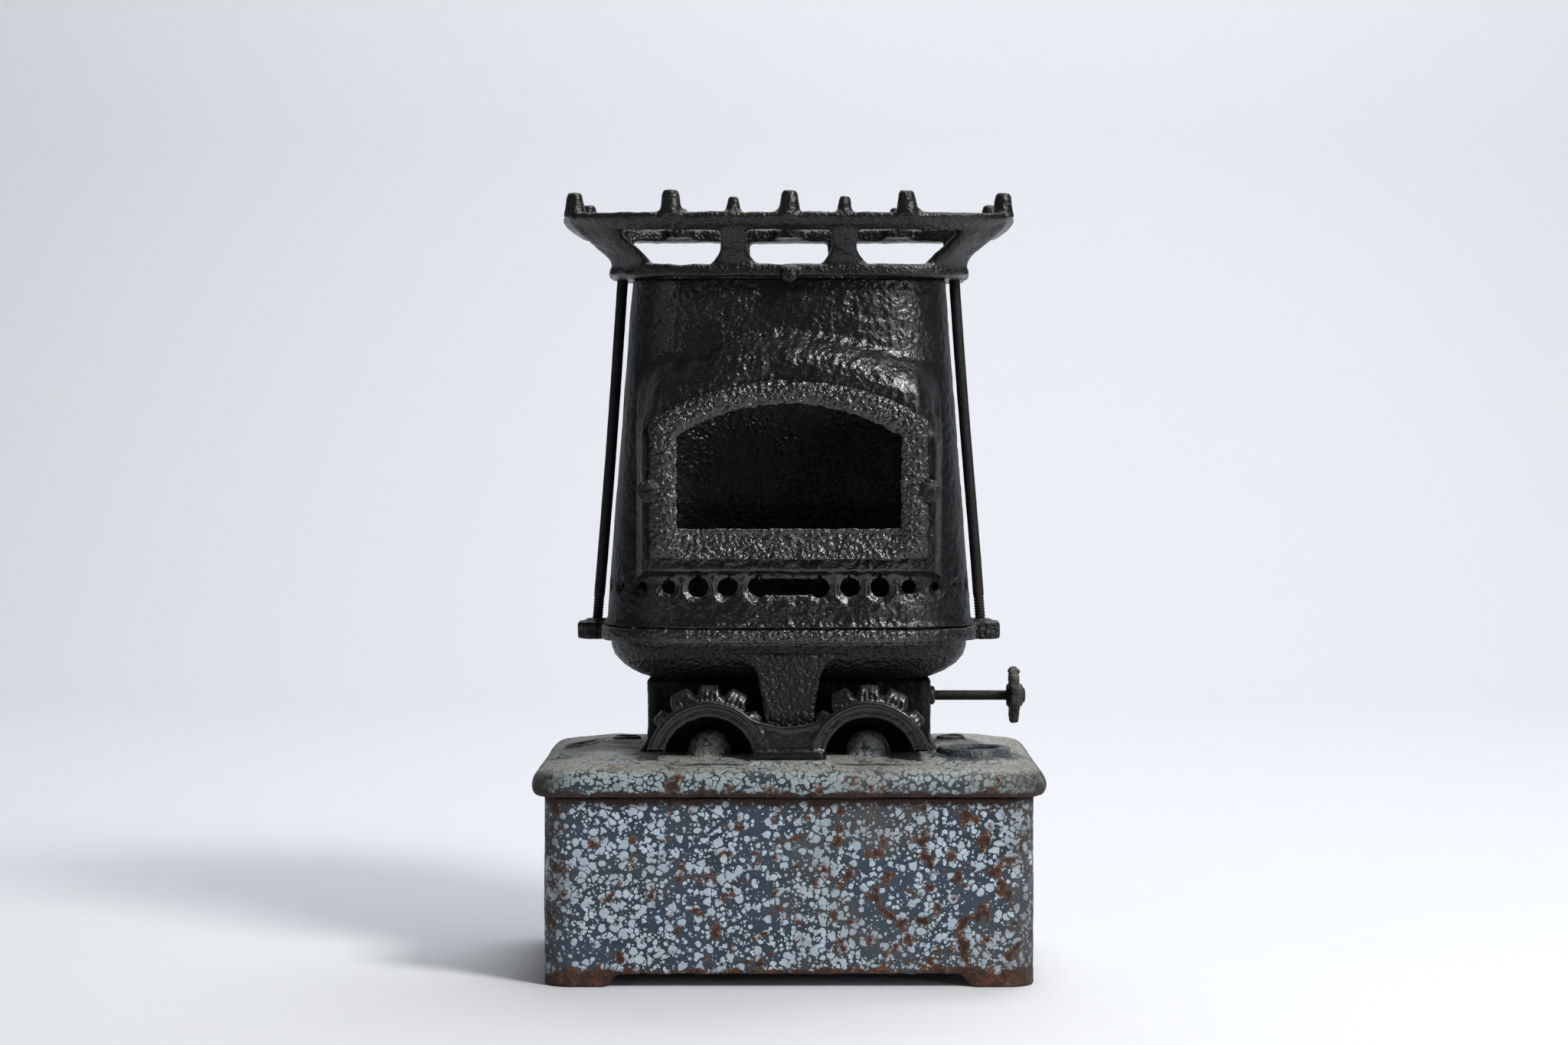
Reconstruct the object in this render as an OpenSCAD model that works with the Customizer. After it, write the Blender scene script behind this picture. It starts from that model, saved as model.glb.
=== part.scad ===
// Twin-wick cast iron paraffin stove: enamelled tank, burner, hinged chimney and pan trivet.
// The origin is on the floor under the middle of the tank, X runs to the right, Y to the back.

/* [Tank] */
// Width of the tank
tank_w = 205; // [170:1:260]
// Depth of the tank from front to back
tank_d = 152; // [140:1:200]
// Height of the tank, feet included
tank_h = 79; // [60:1:120]
// Wall of the tank casting
tank_wall = 4; // [3:0.5:6]
// Radius of the tank's upright corners
tank_corner = 12; // [8:1:20]
// Length of each foot along the tank
foot_len = 24; // [14:1:40]
// Gap under the tank between the feet
foot_h = 5; // [3:0.5:12]

/* [Tank lid] */
// Overhang of the lid past the tank on every side
lid_over = 5; // [3:0.5:9]
// Height of the lid's rounded lip
lid_lip = 12.5; // [10:0.5:18]
// Rise of the lid from the lip to its middle
lid_crown = 3; // [2:0.5:6]
// Thickness of the lid's top plate
lid_plate = 5; // [4:0.5:7]
// Bore of the filler neck
filler_bore = 20.5; // [16:0.5:24]
// Distance of the filler neck from the lid's right edge
filler_edge = 29.5; // [24:0.5:36]
// Bore of the empty fixing holes in the lid
lid_hole = 7.6; // [5:0.2:9]

/* [Burner] */
// Width of one flat wick
wick_w = 50; // [40:1:60]
// Thickness of one flat wick
wick_t = 3; // [2.5:0.1:4]
// Gap between the two wick tubes
tube_gap = 4.8; // [2:0.2:20]
// Wall of the wick tubes
tube_wall = 1.6; // [1.2:0.1:2]
// Play of the wick in its tube on each side
wick_play = 0.9; // [0.6:0.1:1.2]
// Height of the tubes above the burner housing
tube_rise = 9; // [5:0.5:10]
// Depth of the burner housing
housing_d = 68; // [56:1:76]
// Height of the burner housing above the lid
housing_h = 30.5; // [30:0.5:40]
// Wall of the burner housing
housing_wall = 3; // [2.5:0.5:4]

/* [Wick winder] */
// Diameter of the winder spindle
spindle_d = 4.2; // [3:0.1:5]
// Height of the spindle above the lid
spindle_rise = 22; // [18:0.5:24]
// Reach of the spindle past the burner housing
spindle_reach = 41.5; // [36:0.5:60]
// Diameter of the toothed wheels that lift the wicks
cog_d = 16.4; // [14:0.2:18]
// Diameter of the winder wheel
winder_d = 24.7; // [20:0.1:30]
// Thickness of the winder wheel
winder_t = 6; // [4:0.5:8]

/* [Front bracket] */
// Width of the bracket's foot
bracket_foot = 30; // [26:1:34]
// Thickness of the arched front plate
bracket_t = 4.5; // [3.5:0.5:6]
// Radius inside each arch
arch_r = 18.7; // [16:0.1:19]
// Width of the arch band
arch_band = 4.3; // [3.5:0.1:5]
// Distance between the middles of the two arches
arch_pitch = 67; // [66:0.5:74]

/* [Chimney base] */
// Width of the chimney casing at its foot
casing_w = 157; // [150:1:180]
// Depth of the chimney casing at its foot
casing_d = 124; // [118:1:136]
// Height of the bowl under the flange
bowl_h = 16.7; // [15:0.1:20]
// Wall of the bowl
bowl_wall = 3.5; // [3:0.5:5]
// Thickness of the flange that carries the casing
flange_t = 6; // [5:0.5:8]
// Reach of each tie rod ear past the casing
ear_reach = 13; // [10:0.5:18]

/* [Chimney casing] */
// Height of the chimney casing
casing_h = 147; // [120:1:180]
// Width of the casing at its top as a share of its foot
casing_taper = 0.857; // [0.8:0.001:0.95]
// Wall of the casing
casing_wall = 3; // [2.5:0.5:4]
// Number of air holes round the foot of the casing
vent_count = 38; // [30:1:42]
// Diameter of the largest air holes
vent_d = 8.6; // [6:0.1:9]
// Height of the air holes above the flange
vent_z = 17.5; // [14:0.5:20]
// Width of the window opening
window_w = 93; // [80:1:100]
// Height of the window opening at its middle
window_h = 52; // [40:1:60]
// Width of the window frame's bars
frame_bar = 11.8; // [9:0.1:14]
// Thickness of the window frame
frame_t = 3; // [2:0.5:4]

/* [Trivet] */
// Width of the trivet's rim
trivet_w = 193; // [180:1:230]
// Depth of the trivet's rim
trivet_d = 150; // [144:1:180]
// Height from the top of the casing to the top of the rim
trivet_h = 27; // [24:0.5:36]
// Thickness of the rim
rim_t = 8; // [6:0.5:10]
// Width of the rim
rim_w = 12; // [10:0.5:15]
// Thickness of the collar that sits on the casing
collar_t = 6; // [5:0.5:8]
// Height of the tall pegs above the rim
peg_h = 9; // [6:0.5:12]
// Diameter of the tie rods
rod_d = 4.7; // [4:0.1:5.5]

/* [Chimney hinge] */
// Diameter of the hinge pin
pin_d = 5; // [4:0.1:6]
// Height of the hinge pin above the lid
pin_rise = 13.5; // [12:0.5:16]

/* [Hidden] */
$fn = 48;

eps = 0.01;
seat = 0.2;         // gap under parts that lift away
fit = 0.06;         // radial play of a shaft or a screw in its bore
slide = 0.1;        // play of a tube in its slot
iron = "#23272b";
enamel = "#55677a";
steel = "#3a3d40";

// heights
lid_z = tank_h;
lid_edge_z = lid_z + lid_lip;
lid_top = lid_edge_z + lid_crown;
housing_top = lid_top + housing_h;
bowl_z = housing_top + 0.3;
flange_z = bowl_z + bowl_h;
casing_z = flange_z + flange_t;
casing_top = casing_z + casing_h;
rim_top = casing_top + trivet_h;
tube_top = housing_top + tube_rise;
spindle_z = lid_top + spindle_rise;
vent_mid = casing_z + vent_z;

// tank and lid
tank_gap_slope = 1.3;
floor_z = foot_h + 3;
floor_t = 4;
lid_corner = tank_corner + 2;
filler_y = -45;
filler_rise = 3;
lid_levels = [[0, 2], [2, 0.5], [4.5, 0], [8, 0.6], [10.5, 2.2], [lid_lip - 0.8, 5], [lid_lip, 9]];
side_hole_y = 14;
pad_w = bracket_foot + 2.5;

// burner
tube_in_t = wick_t + 2 * wick_play;
tube_in_w = wick_w + 1;
tube_t = tube_in_t + 2 * tube_wall;
tube_w = tube_in_w + 2 * tube_wall;
wick_pitch = tube_w + tube_gap;
tube_room = 0.9;
housing_w = wick_pitch + tube_w + 2 * (housing_wall + tube_room);
plinth = 3;
plinth_t = 3;
side_hole_x = max(71, housing_w / 2 + plinth + 7);
filler_x = max(tank_w / 2 + lid_over - filler_edge, housing_w / 2 + plinth + 13.8);
wick_up = 1.5;      // the wick stands this far out of its tube
wick_drop = 13;     // and can be wound down by this
wick_foot = floor_z + floor_t + wick_drop + 3;
dome_r = 9.3;

// winder
cog_r = cog_d / 2;
spindle_y = -(wick_t / 2 + 0.3 + cog_r);
spindle_start = -(housing_w / 2 - 1);
spindle_end = housing_w / 2 + spindle_reach;
cog_spread = 15;
cog_t = 1.6;
bush_r = spindle_d / 2 + 0.8;
bush_out = 2.6;

// chimney base and leg
body_curve = 4;     // superellipse exponent of the casing
rim_curve = 4.5;    // and of the trivet's rim
flange_over = 2;
bowl_levels = [[0, 17], [1, 13.5], [3.2, 9], [6.2, 4.8], [9.7, 1.8], [13.2, 0.5], [bowl_h, 0]];
leg_w = 20;
leg_t = 9;
leg_y = -(casing_d / 2 - 2);
slot_w = tube_w + 2;
slot_d = 20;
ear_d = 24;
ear_drop = 1.5;

// front bracket
bracket_y = leg_y - 1.5 - bracket_t;
pad_z = lid_edge_z + 2.2;
saddle_z = lid_top + 12.3;
shelf_z = saddle_z - 1.5;
arch_top = pad_z + 24.3;
arch_out = arch_r + arch_band + 3;
tooth_reach = 5;
tooth_len = 16;

// casing
top_w = casing_w * casing_taper;
top_d = casing_d * casing_taper;
panel_y = -(casing_d / 2 + 1);
window_z = casing_z + 42;
arch_rise = 13.4;
screw_z = window_z + 16;
frame_half = window_w / 2 + frame_bar;
screw_x = frame_half;
vent_rows = walk(oval(casing_w / 2 - 1, casing_d / 2 - 1, body_curve, 144), vent_count);
vent_pitch = reach(oval(casing_w / 2, casing_d / 2, body_curve, 144), 144) / vent_count;

// tie rods
rod_foot_x = casing_w / 2 + 5;
rod_head_x = top_w / 2 + 4;
rod_foot_z = flange_z - ear_drop + 0.5;
rod_head_z = casing_top + collar_t + 0.4;
rod_lean = atan2(rod_foot_x - rod_head_x, rod_head_z - rod_foot_z);
rod_len = norm([rod_foot_x - rod_head_x, rod_head_z - rod_foot_z]);

// trivet
collar_w = rod_head_x * 2 + 12;
collar_d = top_d + 16;
peg_pitch = 49;
small_peg_x = 23;
corner_peg_y = trivet_d / 3;
peg_inset = 4.2;

// hinge
pin_y = casing_d / 2 + 4;
pin_z = lid_top + pin_rise;
knuckle_w = 13.6;
knuckle_r = pin_d / 2 + 4;
cheek_t = 5;
cheek_gap = 14.2;
rear_foot_d = 17;
rear_foot_z = lid_edge_z + 0.01 + lid_crown * (tank_d / 2 + lid_over - 9 - pin_y + knuckle_r) / 21;

// ---- outlines ----

function sign_pow(v, p) = sign(v) * pow(abs(v), p);

// Superellipse from its front point round to the right, n points.
function oval(a, b, e, n = 72) = [for (i = [0:n - 1]) let (t = -90 + 360 * i / n)
    [a * sign_pow(cos(t), 2 / e), b * sign_pow(sin(t), 2 / e)]];

// Rectangle w by d with corner radius r.
function rounded(w, d, r, n = 8) = [for (q = [0:3], i = [0:n]) let (t = 90 * (q + i / n),
    sx = (q == 0 || q == 3) ? 1 : -1, sy = q < 2 ? 1 : -1)
    [sx * (w / 2 - r) + r * cos(t), sy * (d / 2 - r) + r * sin(t)]];

// Upright window outline with a round-arched head.
function arched(half, z0, spring, rise, n = 20) = let (
    r = (half * half + rise * rise) / (2 * rise), a = asin(half / r), c = spring + rise - r)
    concat([[-half, z0], [half, z0]],
    [for (i = [0:n]) let (t = a - 2 * a * i / n) [r * sin(t), c + r * cos(t)]]);

function at_z(outline, z) = [for (p = outline) [p[0], p[1], z]];

function reach(p, i) = i == 0 ? 0 : reach(p, i - 1) + norm(p[i % len(p)] - p[i - 1]);

// Points spaced evenly along a closed outline, each with the outline's direction there.
function walk(p, count) = let (n = len(p), d = [for (i = [0:n]) reach(p, i)])
    [for (k = [0:count - 1]) let (s = k * d[n] / count,
        i = max([for (j = [0:n - 1]) if (d[j] <= s + eps) j]), q = p[(i + 1) % n] - p[i],
        at = p[i] + q * (s - d[i]) / norm(q)) [at[0], at[1], atan2(q[1], q[0])]];

// Closed solid through a stack of rings with equally many points.
module loft(rings) {
    n = len(rings[0]);
    last = len(rings) - 1;
    polyhedron(
        points = [for (ring = rings) each ring],
        faces = concat(
            [[for (i = [0:n - 1]) i]],
            [for (k = [0:last - 1], i = [0:n - 1]) let (j = (i + 1) % n, a = k * n, b = a + n)
                each [[a + i, b + i, b + j], [a + i, b + j, a + j]]],
            [[for (i = [n - 1:-1:0]) last * n + i]]));
}

// A front outline given thickness t to the back of y0.
module plate_y(y0, t) {
    translate([0, y0 + t, 0])
        rotate([90, 0, 0])
            linear_extrude(t)
                children();
}

module box(x0, x1, y0, y1, z0, z1) {
    translate([x0, y0, z0])
        cube([x1 - x0, y1 - y0, z1 - z0]);
}

module post(x, y, z, d, h) {
    translate([x, y, z])
        cylinder(d = d, h = h);
}

module rod_x(x0, x1, y, z, d) {
    translate([x0, y, z])
        rotate([0, 90, 0])
            cylinder(d = d, h = x1 - x0);
}

module both_sides() {
    children();
    mirror([1, 0, 0])
        children();
}

// ---- tank ----

module foot_gap(length) {
    w = length / 2 - foot_len;
    polygon([[-w, -eps], [w, -eps], [w - foot_h * tank_gap_slope, foot_h],
        [-w + foot_h * tank_gap_slope, foot_h]]);
}

module tank() {
    color(enamel)
        difference() {
            linear_extrude(tank_h)
                polygon(rounded(tank_w, tank_d, tank_corner));
            translate([0, 0, floor_z + floor_t])
                linear_extrude(tank_h)
                    polygon(rounded(tank_w - 2 * tank_wall, tank_d - 2 * tank_wall,
                        tank_corner - tank_wall));
            translate([0, 0, -eps])
                linear_extrude(floor_z + eps)
                    polygon(rounded(tank_w - 2 * tank_wall, tank_d - 2 * tank_wall,
                        tank_corner - tank_wall));
            plate_y(-tank_d, 2 * tank_d)
                foot_gap(tank_w);
            rotate([0, 0, 90])
                plate_y(-tank_w, 2 * tank_w)
                    foot_gap(tank_d);
        }
}

module lid_slots() {
    for (side = [-1, 1])
        translate([side * wick_pitch / 2, 0, 0])
            cube([tube_w + 2 * slide, tube_t + 2 * slide, 4 * tank_h], center = true);
}

module tank_lid() {
    w = tank_w + 2 * lid_over;
    d = tank_d + 2 * lid_over;
    color(enamel)
        difference() {
            union() {
                loft(concat(
                    [for (l = lid_levels)
                        at_z(rounded(w - 2 * l[1], d - 2 * l[1], lid_corner - l[1] * 0.5), lid_z + l[0])],
                    [at_z(rounded(w - 60, d - 60, lid_corner - 6), lid_top)]));
                box(-pad_w / 2, pad_w / 2, bracket_y - 9, leg_y + 14, lid_edge_z - 2, pad_z);
                translate([filler_x, filler_y, lid_edge_z - 2])
                    cylinder(d1 = filler_bore + 14, d2 = filler_bore + 10, h = 2 + lid_crown + filler_rise);
                for (side = [-1, 1])
                    post(side * side_hole_x, side_hole_y, lid_edge_z - 2, 13, lid_crown + 4.5);
                post(-w / 2 + 13.5, -36, lid_edge_z - 2, 18, 4.2);
                post(w / 2 - 10, -29, lid_edge_z - 2, 12, 3.2);
                for (side = [-1, 1])
                    translate([side * arch_pitch / 2, -housing_d / 2 - dome_r - 0.5, lid_top - 2])
                        sphere(dome_r);
            }
            box(-bracket_foot / 2 - slide, bracket_foot / 2 + slide, bracket_y - slide,
                leg_y + leg_t + 2 + slide, pad_z, lid_top + lid_crown);
            translate([0, 0, lid_z - eps])
                linear_extrude(lid_lip + lid_crown - lid_plate)
                    polygon(rounded(tank_w - 2 * tank_wall - 2, tank_d - 2 * tank_wall - 2,
                        tank_corner - tank_wall));
            lid_slots();
            post(filler_x, filler_y, lid_z, filler_bore, 2 * lid_lip);
            for (side = [-1, 1])
                post(side * side_hole_x, side_hole_y, lid_z, lid_hole, 2 * lid_lip);
            post(-w / 2 + 17.5, side_hole_y, lid_z, 12, 2 * lid_lip);
        }
}

// ---- front bracket ----

module arch_area(radius) {
    translate([arch_pitch / 2, arch_top - radius])
        circle(radius);
}

// Opening under one arch, round above and straight sided to the lid.
module arch_opening() {
    translate([arch_pitch / 2, lid_top + 0.3])
        circle(arch_r);
}

module below_arch() {
    translate([-tank_w, lid_z - tank_h])
        square([2 * tank_w, tank_h + lid_lip + lid_crown + 3.5]);
}

module arch_teeth() {
    for (turn = [-50, -25, 0, 25, 45])
        translate([arch_pitch / 2, lid_top])
            rotate(turn) {
                tip = arch_out + tooth_reach - (turn == 45 ? 3.5 : 2);
                translate([-3.6, arch_r + 2])
                    square([7.2, tip - arch_r - 2 - 2]);
                translate([0, tip - 3.6])
                    circle(3.6);
            }
}

module front_bracket() {
    vault_y = bracket_y + bracket_t;
    color(iron)
        difference() {
            union() {
                plate_y(bracket_y, bracket_t)
                    difference() {
                        both_sides()
                            arch_area(arch_out);
                        below_arch();
                    }
                plate_y(vault_y - 1, -housing_d / 2 - vault_y + 1)
                    difference() {
                        both_sides()
                            arch_area(arch_out - 1);
                        below_arch();
                        translate([-leg_w / 2 - 4, shelf_z])
                            square([leg_w + 8, tank_h]);
                    }
                plate_y(vault_y - 1, tooth_len + 1)
                    difference() {
                        both_sides()
                            arch_teeth();
                        below_arch();
                        translate([-leg_w / 2 - 1.5, 0])
                            square([leg_w + 3, 4 * tank_h]);
                    }
                box(-bracket_foot / 2, bracket_foot / 2, bracket_y, vault_y, pad_z, saddle_z);
                box(-bracket_foot / 2, bracket_foot / 2, vault_y - 1, leg_y + leg_t + 2, pad_z, shelf_z);
            }
            plate_y(bracket_y - 1, casing_d)
                both_sides()
                    arch_opening();
        }
}

// ---- burner ----

module burner_housing() {
    color(iron)
        difference() {
            union() {
                box(-housing_w / 2, housing_w / 2, -housing_d / 2, housing_d / 2, lid_top, housing_top);
                box(-housing_w / 2 - plinth, housing_w / 2 + plinth,
                    -housing_d / 2, housing_d / 2 + plinth, lid_top, lid_top + plinth_t);
            }
            box(-housing_w / 2 + housing_wall, housing_w / 2 - housing_wall,
                -housing_d / 2 + housing_wall, housing_d / 2 - housing_wall,
                lid_top - 1, housing_top + 1);
            rod_x(spindle_start - 0.5, 0, spindle_y, spindle_z, spindle_d + 2 * fit);
            rod_x(0, housing_w, spindle_y, spindle_z, 2 * bush_r + 2 * fit);
        }
}

// Flat tube with slots in its front wall for the toothed wheels.
module wick_tube(side) {
    z0 = lid_top - lid_plate - 3;
    slot_h = sqrt(cog_r * cog_r - pow(abs(spindle_y) - tube_t / 2, 2)) + 1.2;
    color(steel)
        difference() {
            translate([side * wick_pitch / 2 - tube_w / 2, -tube_t / 2, z0])
                cube([tube_w, tube_t, tube_top - z0]);
            translate([side * wick_pitch / 2 - tube_in_w / 2, -tube_in_t / 2, z0 - 1])
                cube([tube_in_w, tube_in_t, tube_top - z0 + 2]);
            for (x = [-cog_spread, cog_spread])
                translate([side * wick_pitch / 2 + x, -tube_t / 2, spindle_z])
                    cube([cog_t + 1.2, 2 * tube_wall + 1, 2 * slot_h], center = true);
        }
}

module wick(side) {
    color("#b9ad94")
        box(side * wick_pitch / 2 - wick_w / 2, side * wick_pitch / 2 + wick_w / 2,
            -wick_t / 2, wick_t / 2, wick_foot, tube_top + wick_up);
}

// ---- winder ----

module winder_spindle() {
    color(steel)
        rod_x(spindle_start, spindle_end, spindle_y, spindle_z, spindle_d);
}

module cog() {
    teeth = 12;
    difference() {
        union() {
            cylinder(r = cog_r - 1.6, h = cog_t);
            for (i = [0:teeth - 1])
                rotate(360 / teeth * i)
                    linear_extrude(cog_t)
                        polygon([[cog_r - 3, -1.3], [cog_r - 0.02, -0.3], [cog_r - 0.02, 0.3], [cog_r - 3, 1.3]]);
        }
        translate([0, 0, -1])
            cylinder(d = spindle_d + 0.02, h = cog_t + 2);
    }
}

module winder_cogs() {
    color(steel)
        for (side = [-1, 1], x = [-cog_spread, cog_spread])
            translate([side * wick_pitch / 2 + x - cog_t / 2, spindle_y, spindle_z])
                rotate([0, 90, 0])
                    cog();
}

// Cast hand wheel with a chip out of its edge.
module winder_wheel() {
    x0 = spindle_end - winder_t - 0.8;
    color(iron)
        translate([x0, spindle_y, spindle_z])
            rotate([0, 90, 0])
                difference() {
                    union() {
                        cylinder(d = winder_d, h = winder_t * 0.55);
                        cylinder(d = winder_d * 0.8, h = winder_t * 0.8);
                        translate([0, 0, -1.5])
                            cylinder(d = spindle_d + 4.4, h = winder_t + 1.5);
                    }
                    translate([0, 0, -3])
                        cylinder(d = spindle_d + 0.02, h = winder_t + 6);
                    translate([-winder_d / 2 - 0.6, 2.5, -1])
                        cylinder(d = 4.6, h = winder_t + 2);
                }
}

module spindle_bush() {
    x0 = housing_w / 2 - housing_wall;
    color("#4a4234")
        difference() {
            rod_x(x0, housing_w / 2 + bush_out, spindle_y, spindle_z, 2 * bush_r);
            rod_x(x0 - 1, housing_w, spindle_y, spindle_z, spindle_d + 2 * fit);
        }
}

// ---- hinge ----

module rear_bracket() {
    half = cheek_gap / 2 + cheek_t;
    y0 = pin_y - knuckle_r;
    color(iron)
        difference() {
            union() {
                box(-half - 12, half + 12, y0, y0 + rear_foot_d, rear_foot_z, lid_top + 2.5);
                for (side = [-1, 1]) {
                    x = side > 0 ? cheek_gap / 2 : -half;
                    box(x, x + cheek_t, y0, pin_y + knuckle_r, lid_top, pin_z);
                    rod_x(x, x + cheek_t, pin_y, pin_z, 2 * knuckle_r);
                }
            }
            rod_x(-half - 1, half + 1, pin_y, pin_z, pin_d + fit);
            for (side = [-1, 1])
                post(side * (half + 6), y0 + rear_foot_d / 2, lid_z, 4 + fit, 2 * lid_lip);
        }
}

module rear_bracket_screws() {
    half = cheek_gap / 2 + cheek_t;
    color(steel)
        for (side = [-1, 1])
            translate([side * (half + 6), pin_y - knuckle_r + rear_foot_d / 2, lid_top + 2.5])
                difference() {
                    union() {
                        cylinder(d = 7.5, h = 2);
                        translate([0, 0, -2.6])
                            cylinder(d = 4, h = 3);
                    }
                    translate([-5, -0.5, 1])
                        cube([10, 1, 3]);
                }
}

module hinge_pin() {
    half = cheek_gap / 2 + cheek_t;
    color(steel) {
        rod_x(-half - 1.5, half + 0.1, pin_y, pin_z, pin_d);
        rod_x(half + 0.1, half + 2.6, pin_y, pin_z, pin_d + 3);
    }
}

// ---- chimney base ----

module bowl_stack(inset, z0, extra) {
    loft(concat(
        [for (l = bowl_levels)
            at_z(oval(casing_w / 2 - l[1] - inset, casing_d / 2 - l[1] - inset, body_curve),
                z0 + l[0])],
        [at_z(oval(casing_w / 2 - inset, casing_d / 2 - inset, body_curve), flange_z + extra)]));
}

// T-shaped leg that flares into the bowl.
module leg_outline() {
    flare = [for (t = [0:15:90]) [leg_w / 2 + 3 + 10 * (1 - cos(t)), bowl_z + 8 * sin(t)]];
    right = concat([[leg_w / 2, shelf_z + seat], [leg_w / 2 + 1, shelf_z + 10]], flare);
    polygon(concat(right, [for (i = [len(right) - 1:-1:0]) [-right[i][0], right[i][1]]]));
}

module hinge_leg() {
    difference() {
        union() {
            rod_x(-knuckle_w / 2, knuckle_w / 2, pin_y, pin_z, 2 * knuckle_r - 1);
            rotate([90, 0, 90])
                translate([0, 0, -knuckle_w / 2])
                    linear_extrude(knuckle_w)
                        polygon([[pin_y - 5.5, pin_z], [pin_y + 5.5, pin_z + 1],
                            [casing_d / 2 - 1, flange_z + 1], [casing_d / 2 - 16, flange_z + 1],
                            [casing_d / 2 - 14, bowl_z + 3]]);
        }
        rod_x(-knuckle_w, knuckle_w, pin_y, pin_z, pin_d + 2 * fit);
    }
}

module ear_plate() {
    x0 = casing_w / 2 - 14;
    x1 = casing_w / 2 + ear_reach;
    polygon([[x0, -ear_d / 2 - 8], [x1 - 6, -ear_d / 2], [x1 - 2, -ear_d / 2 + 1.5], [x1, -ear_d / 2 + 6],
        [x1, ear_d / 2 - 6], [x1 - 2, ear_d / 2 - 1.5], [x1 - 6, ear_d / 2], [x0, ear_d / 2 + 8]]);
}

module chimney_base() {
    color(iron)
        difference() {
            union() {
                bowl_stack(0, bowl_z, eps);
                translate([0, 0, flange_z])
                    linear_extrude(flange_t)
                        polygon(oval(casing_w / 2 + flange_over, casing_d / 2 + flange_over, body_curve));
                translate([0, 0, flange_z - ear_drop])
                    linear_extrude(flange_t + ear_drop)
                        both_sides()
                            ear_plate();
                box(-11, 11, -casing_d / 2 - flange_over - 1.5, -casing_d / 2, flange_z + 0.8,
                    casing_z - 0.8);
                plate_y(leg_y, leg_t)
                    leg_outline();
                hinge_leg();
            }
            bowl_stack(bowl_wall, bowl_z + bowl_wall, flange_t + 1);
            for (side = [-1, 1]) {
                translate([side * wick_pitch / 2, 0, bowl_z])
                    cube([slot_w, slot_d, 2 * (tube_top + 1 - bowl_z)], center = true);
                tie_rod_bore(side);
            }
        }
}

// ---- casing and window ----

module casing_stack(inset, z0, z1) {
    loft([for (z = [z0, z1]) let (k = 1 - (1 - casing_taper) * (z - casing_z) / casing_h)
        at_z(oval(k * casing_w / 2 - inset, k * casing_d / 2 - inset, body_curve), z)]);
}

// The holes shrink towards the sides.
module vents() {
    for (k = [0:vent_count - 1]) {
        from_front = min(k, vent_count - k);
        size = from_front < 4 ? vent_d : max(vent_d - 2.2 * (from_front - 3), 2.6);
        row = vent_rows[k];
        translate([row[0], row[1], vent_mid])
            rotate([0, 0, row[2]])
                rotate([90, 0, 0])
                    cylinder(d = size, h = 5 * casing_wall, center = true);
    }
    box(-vent_pitch, vent_pitch, panel_y - 3, -casing_d / 4, vent_mid - vent_d * 0.36,
        vent_mid + vent_d * 0.36);
}

module chimney_casing() {
    spring = window_z + window_h - arch_rise;
    color(iron)
        difference() {
            union() {
                casing_stack(0, casing_z, casing_top);
                plate_y(panel_y, casing_d / 3)
                    polygon(arched(frame_half + 4, window_z - 19, spring + 9, arch_rise + 8.8));
            }
            casing_stack(casing_wall, casing_z - 1, casing_top + 1);
            plate_y(-casing_d, casing_d)
                polygon(arched(window_w / 2 + 1, window_z - 1, spring, arch_rise + 1));
            vents();
            for (side = [-1, 1])
                window_screw_shank(side, 3.6 + fit);
        }
}

module window_screw_shank(side, d) {
    translate([side * screw_x, panel_y - frame_t, screw_z])
        rotate([-90, 0, 0])
            cylinder(d = d, h = 11);
}

module window_frame() {
    spring = window_z + window_h - arch_rise;
    color(iron)
        difference() {
            union() {
                plate_y(panel_y - frame_t, frame_t)
                    polygon(arched(frame_half, window_z - 12.5, spring + 7, arch_rise + 3));
                for (side = [-1, 1])
                    translate([side * screw_x, panel_y, screw_z])
                        rotate([90, 0, 0])
                            cylinder(d = 10, h = frame_t);
            }
            plate_y(-casing_d, casing_d)
                polygon(arched(window_w / 2, window_z, spring, arch_rise));
            for (side = [-1, 1])
                window_screw_shank(side, 3.6 + fit);
        }
}

module window_screws() {
    color(steel)
        for (side = [-1, 1]) {
            window_screw_shank(side, 3.6);
            translate([side * screw_x, panel_y - frame_t, screw_z])
                rotate([90, 0, 0])
                    difference() {
                        cylinder(d = 7, h = 1.8);
                        translate([-5, -0.5, 1])
                            cube([10, 1, 2]);
                    }
        }
}

// ---- tie rods ----

module along_rod(side) {
    translate([side * rod_foot_x, 0, rod_foot_z])
        rotate([0, -side * rod_lean, 0])
            children();
}

module tie_rod_bore(side) {
    along_rod(side)
        translate([0, 0, -10])
            cylinder(d = rod_d + fit, h = rod_len + 20);
}

module tie_rod(side) {
    color(steel)
        along_rod(side) {
            cylinder(d = rod_d, h = rod_len);
            translate([0, 0, rod_len])
                cylinder(d = rod_d + 4, h = 2.6);
        }
}

// ---- trivet ----

// Strut with an S-shaped run from the collar at a to the rim at b.
module strut(a, b, w0, w1, t) {
    turn = atan2(b[1] - a[1], b[0] - a[0]) - 90;
    side = [cos(turn), sin(turn), 0];
    out = [-sin(turn), cos(turn), 0];
    loft([for (u = [0:0.2:1]) let (s = 0.5 - 0.5 * cos(180 * u), w = w0 + (w1 - w0) * sqrt(u),
        c = [a[0] + (b[0] - a[0]) * s, a[1] + (b[1] - a[1]) * s, a[2] + (b[2] - a[2]) * u])
        [for (k = [[-1, -1], [1, -1], [1, 1], [-1, 1]]) c + side * k[0] * w / 2 + out * k[1] * t / 2]]);
}

module peg(x, y, d, h) {
    translate([x, y, rim_top - 1.5])
        cylinder(d1 = d, d2 = d - 2.4, h = h + 1.5);
}

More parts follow.
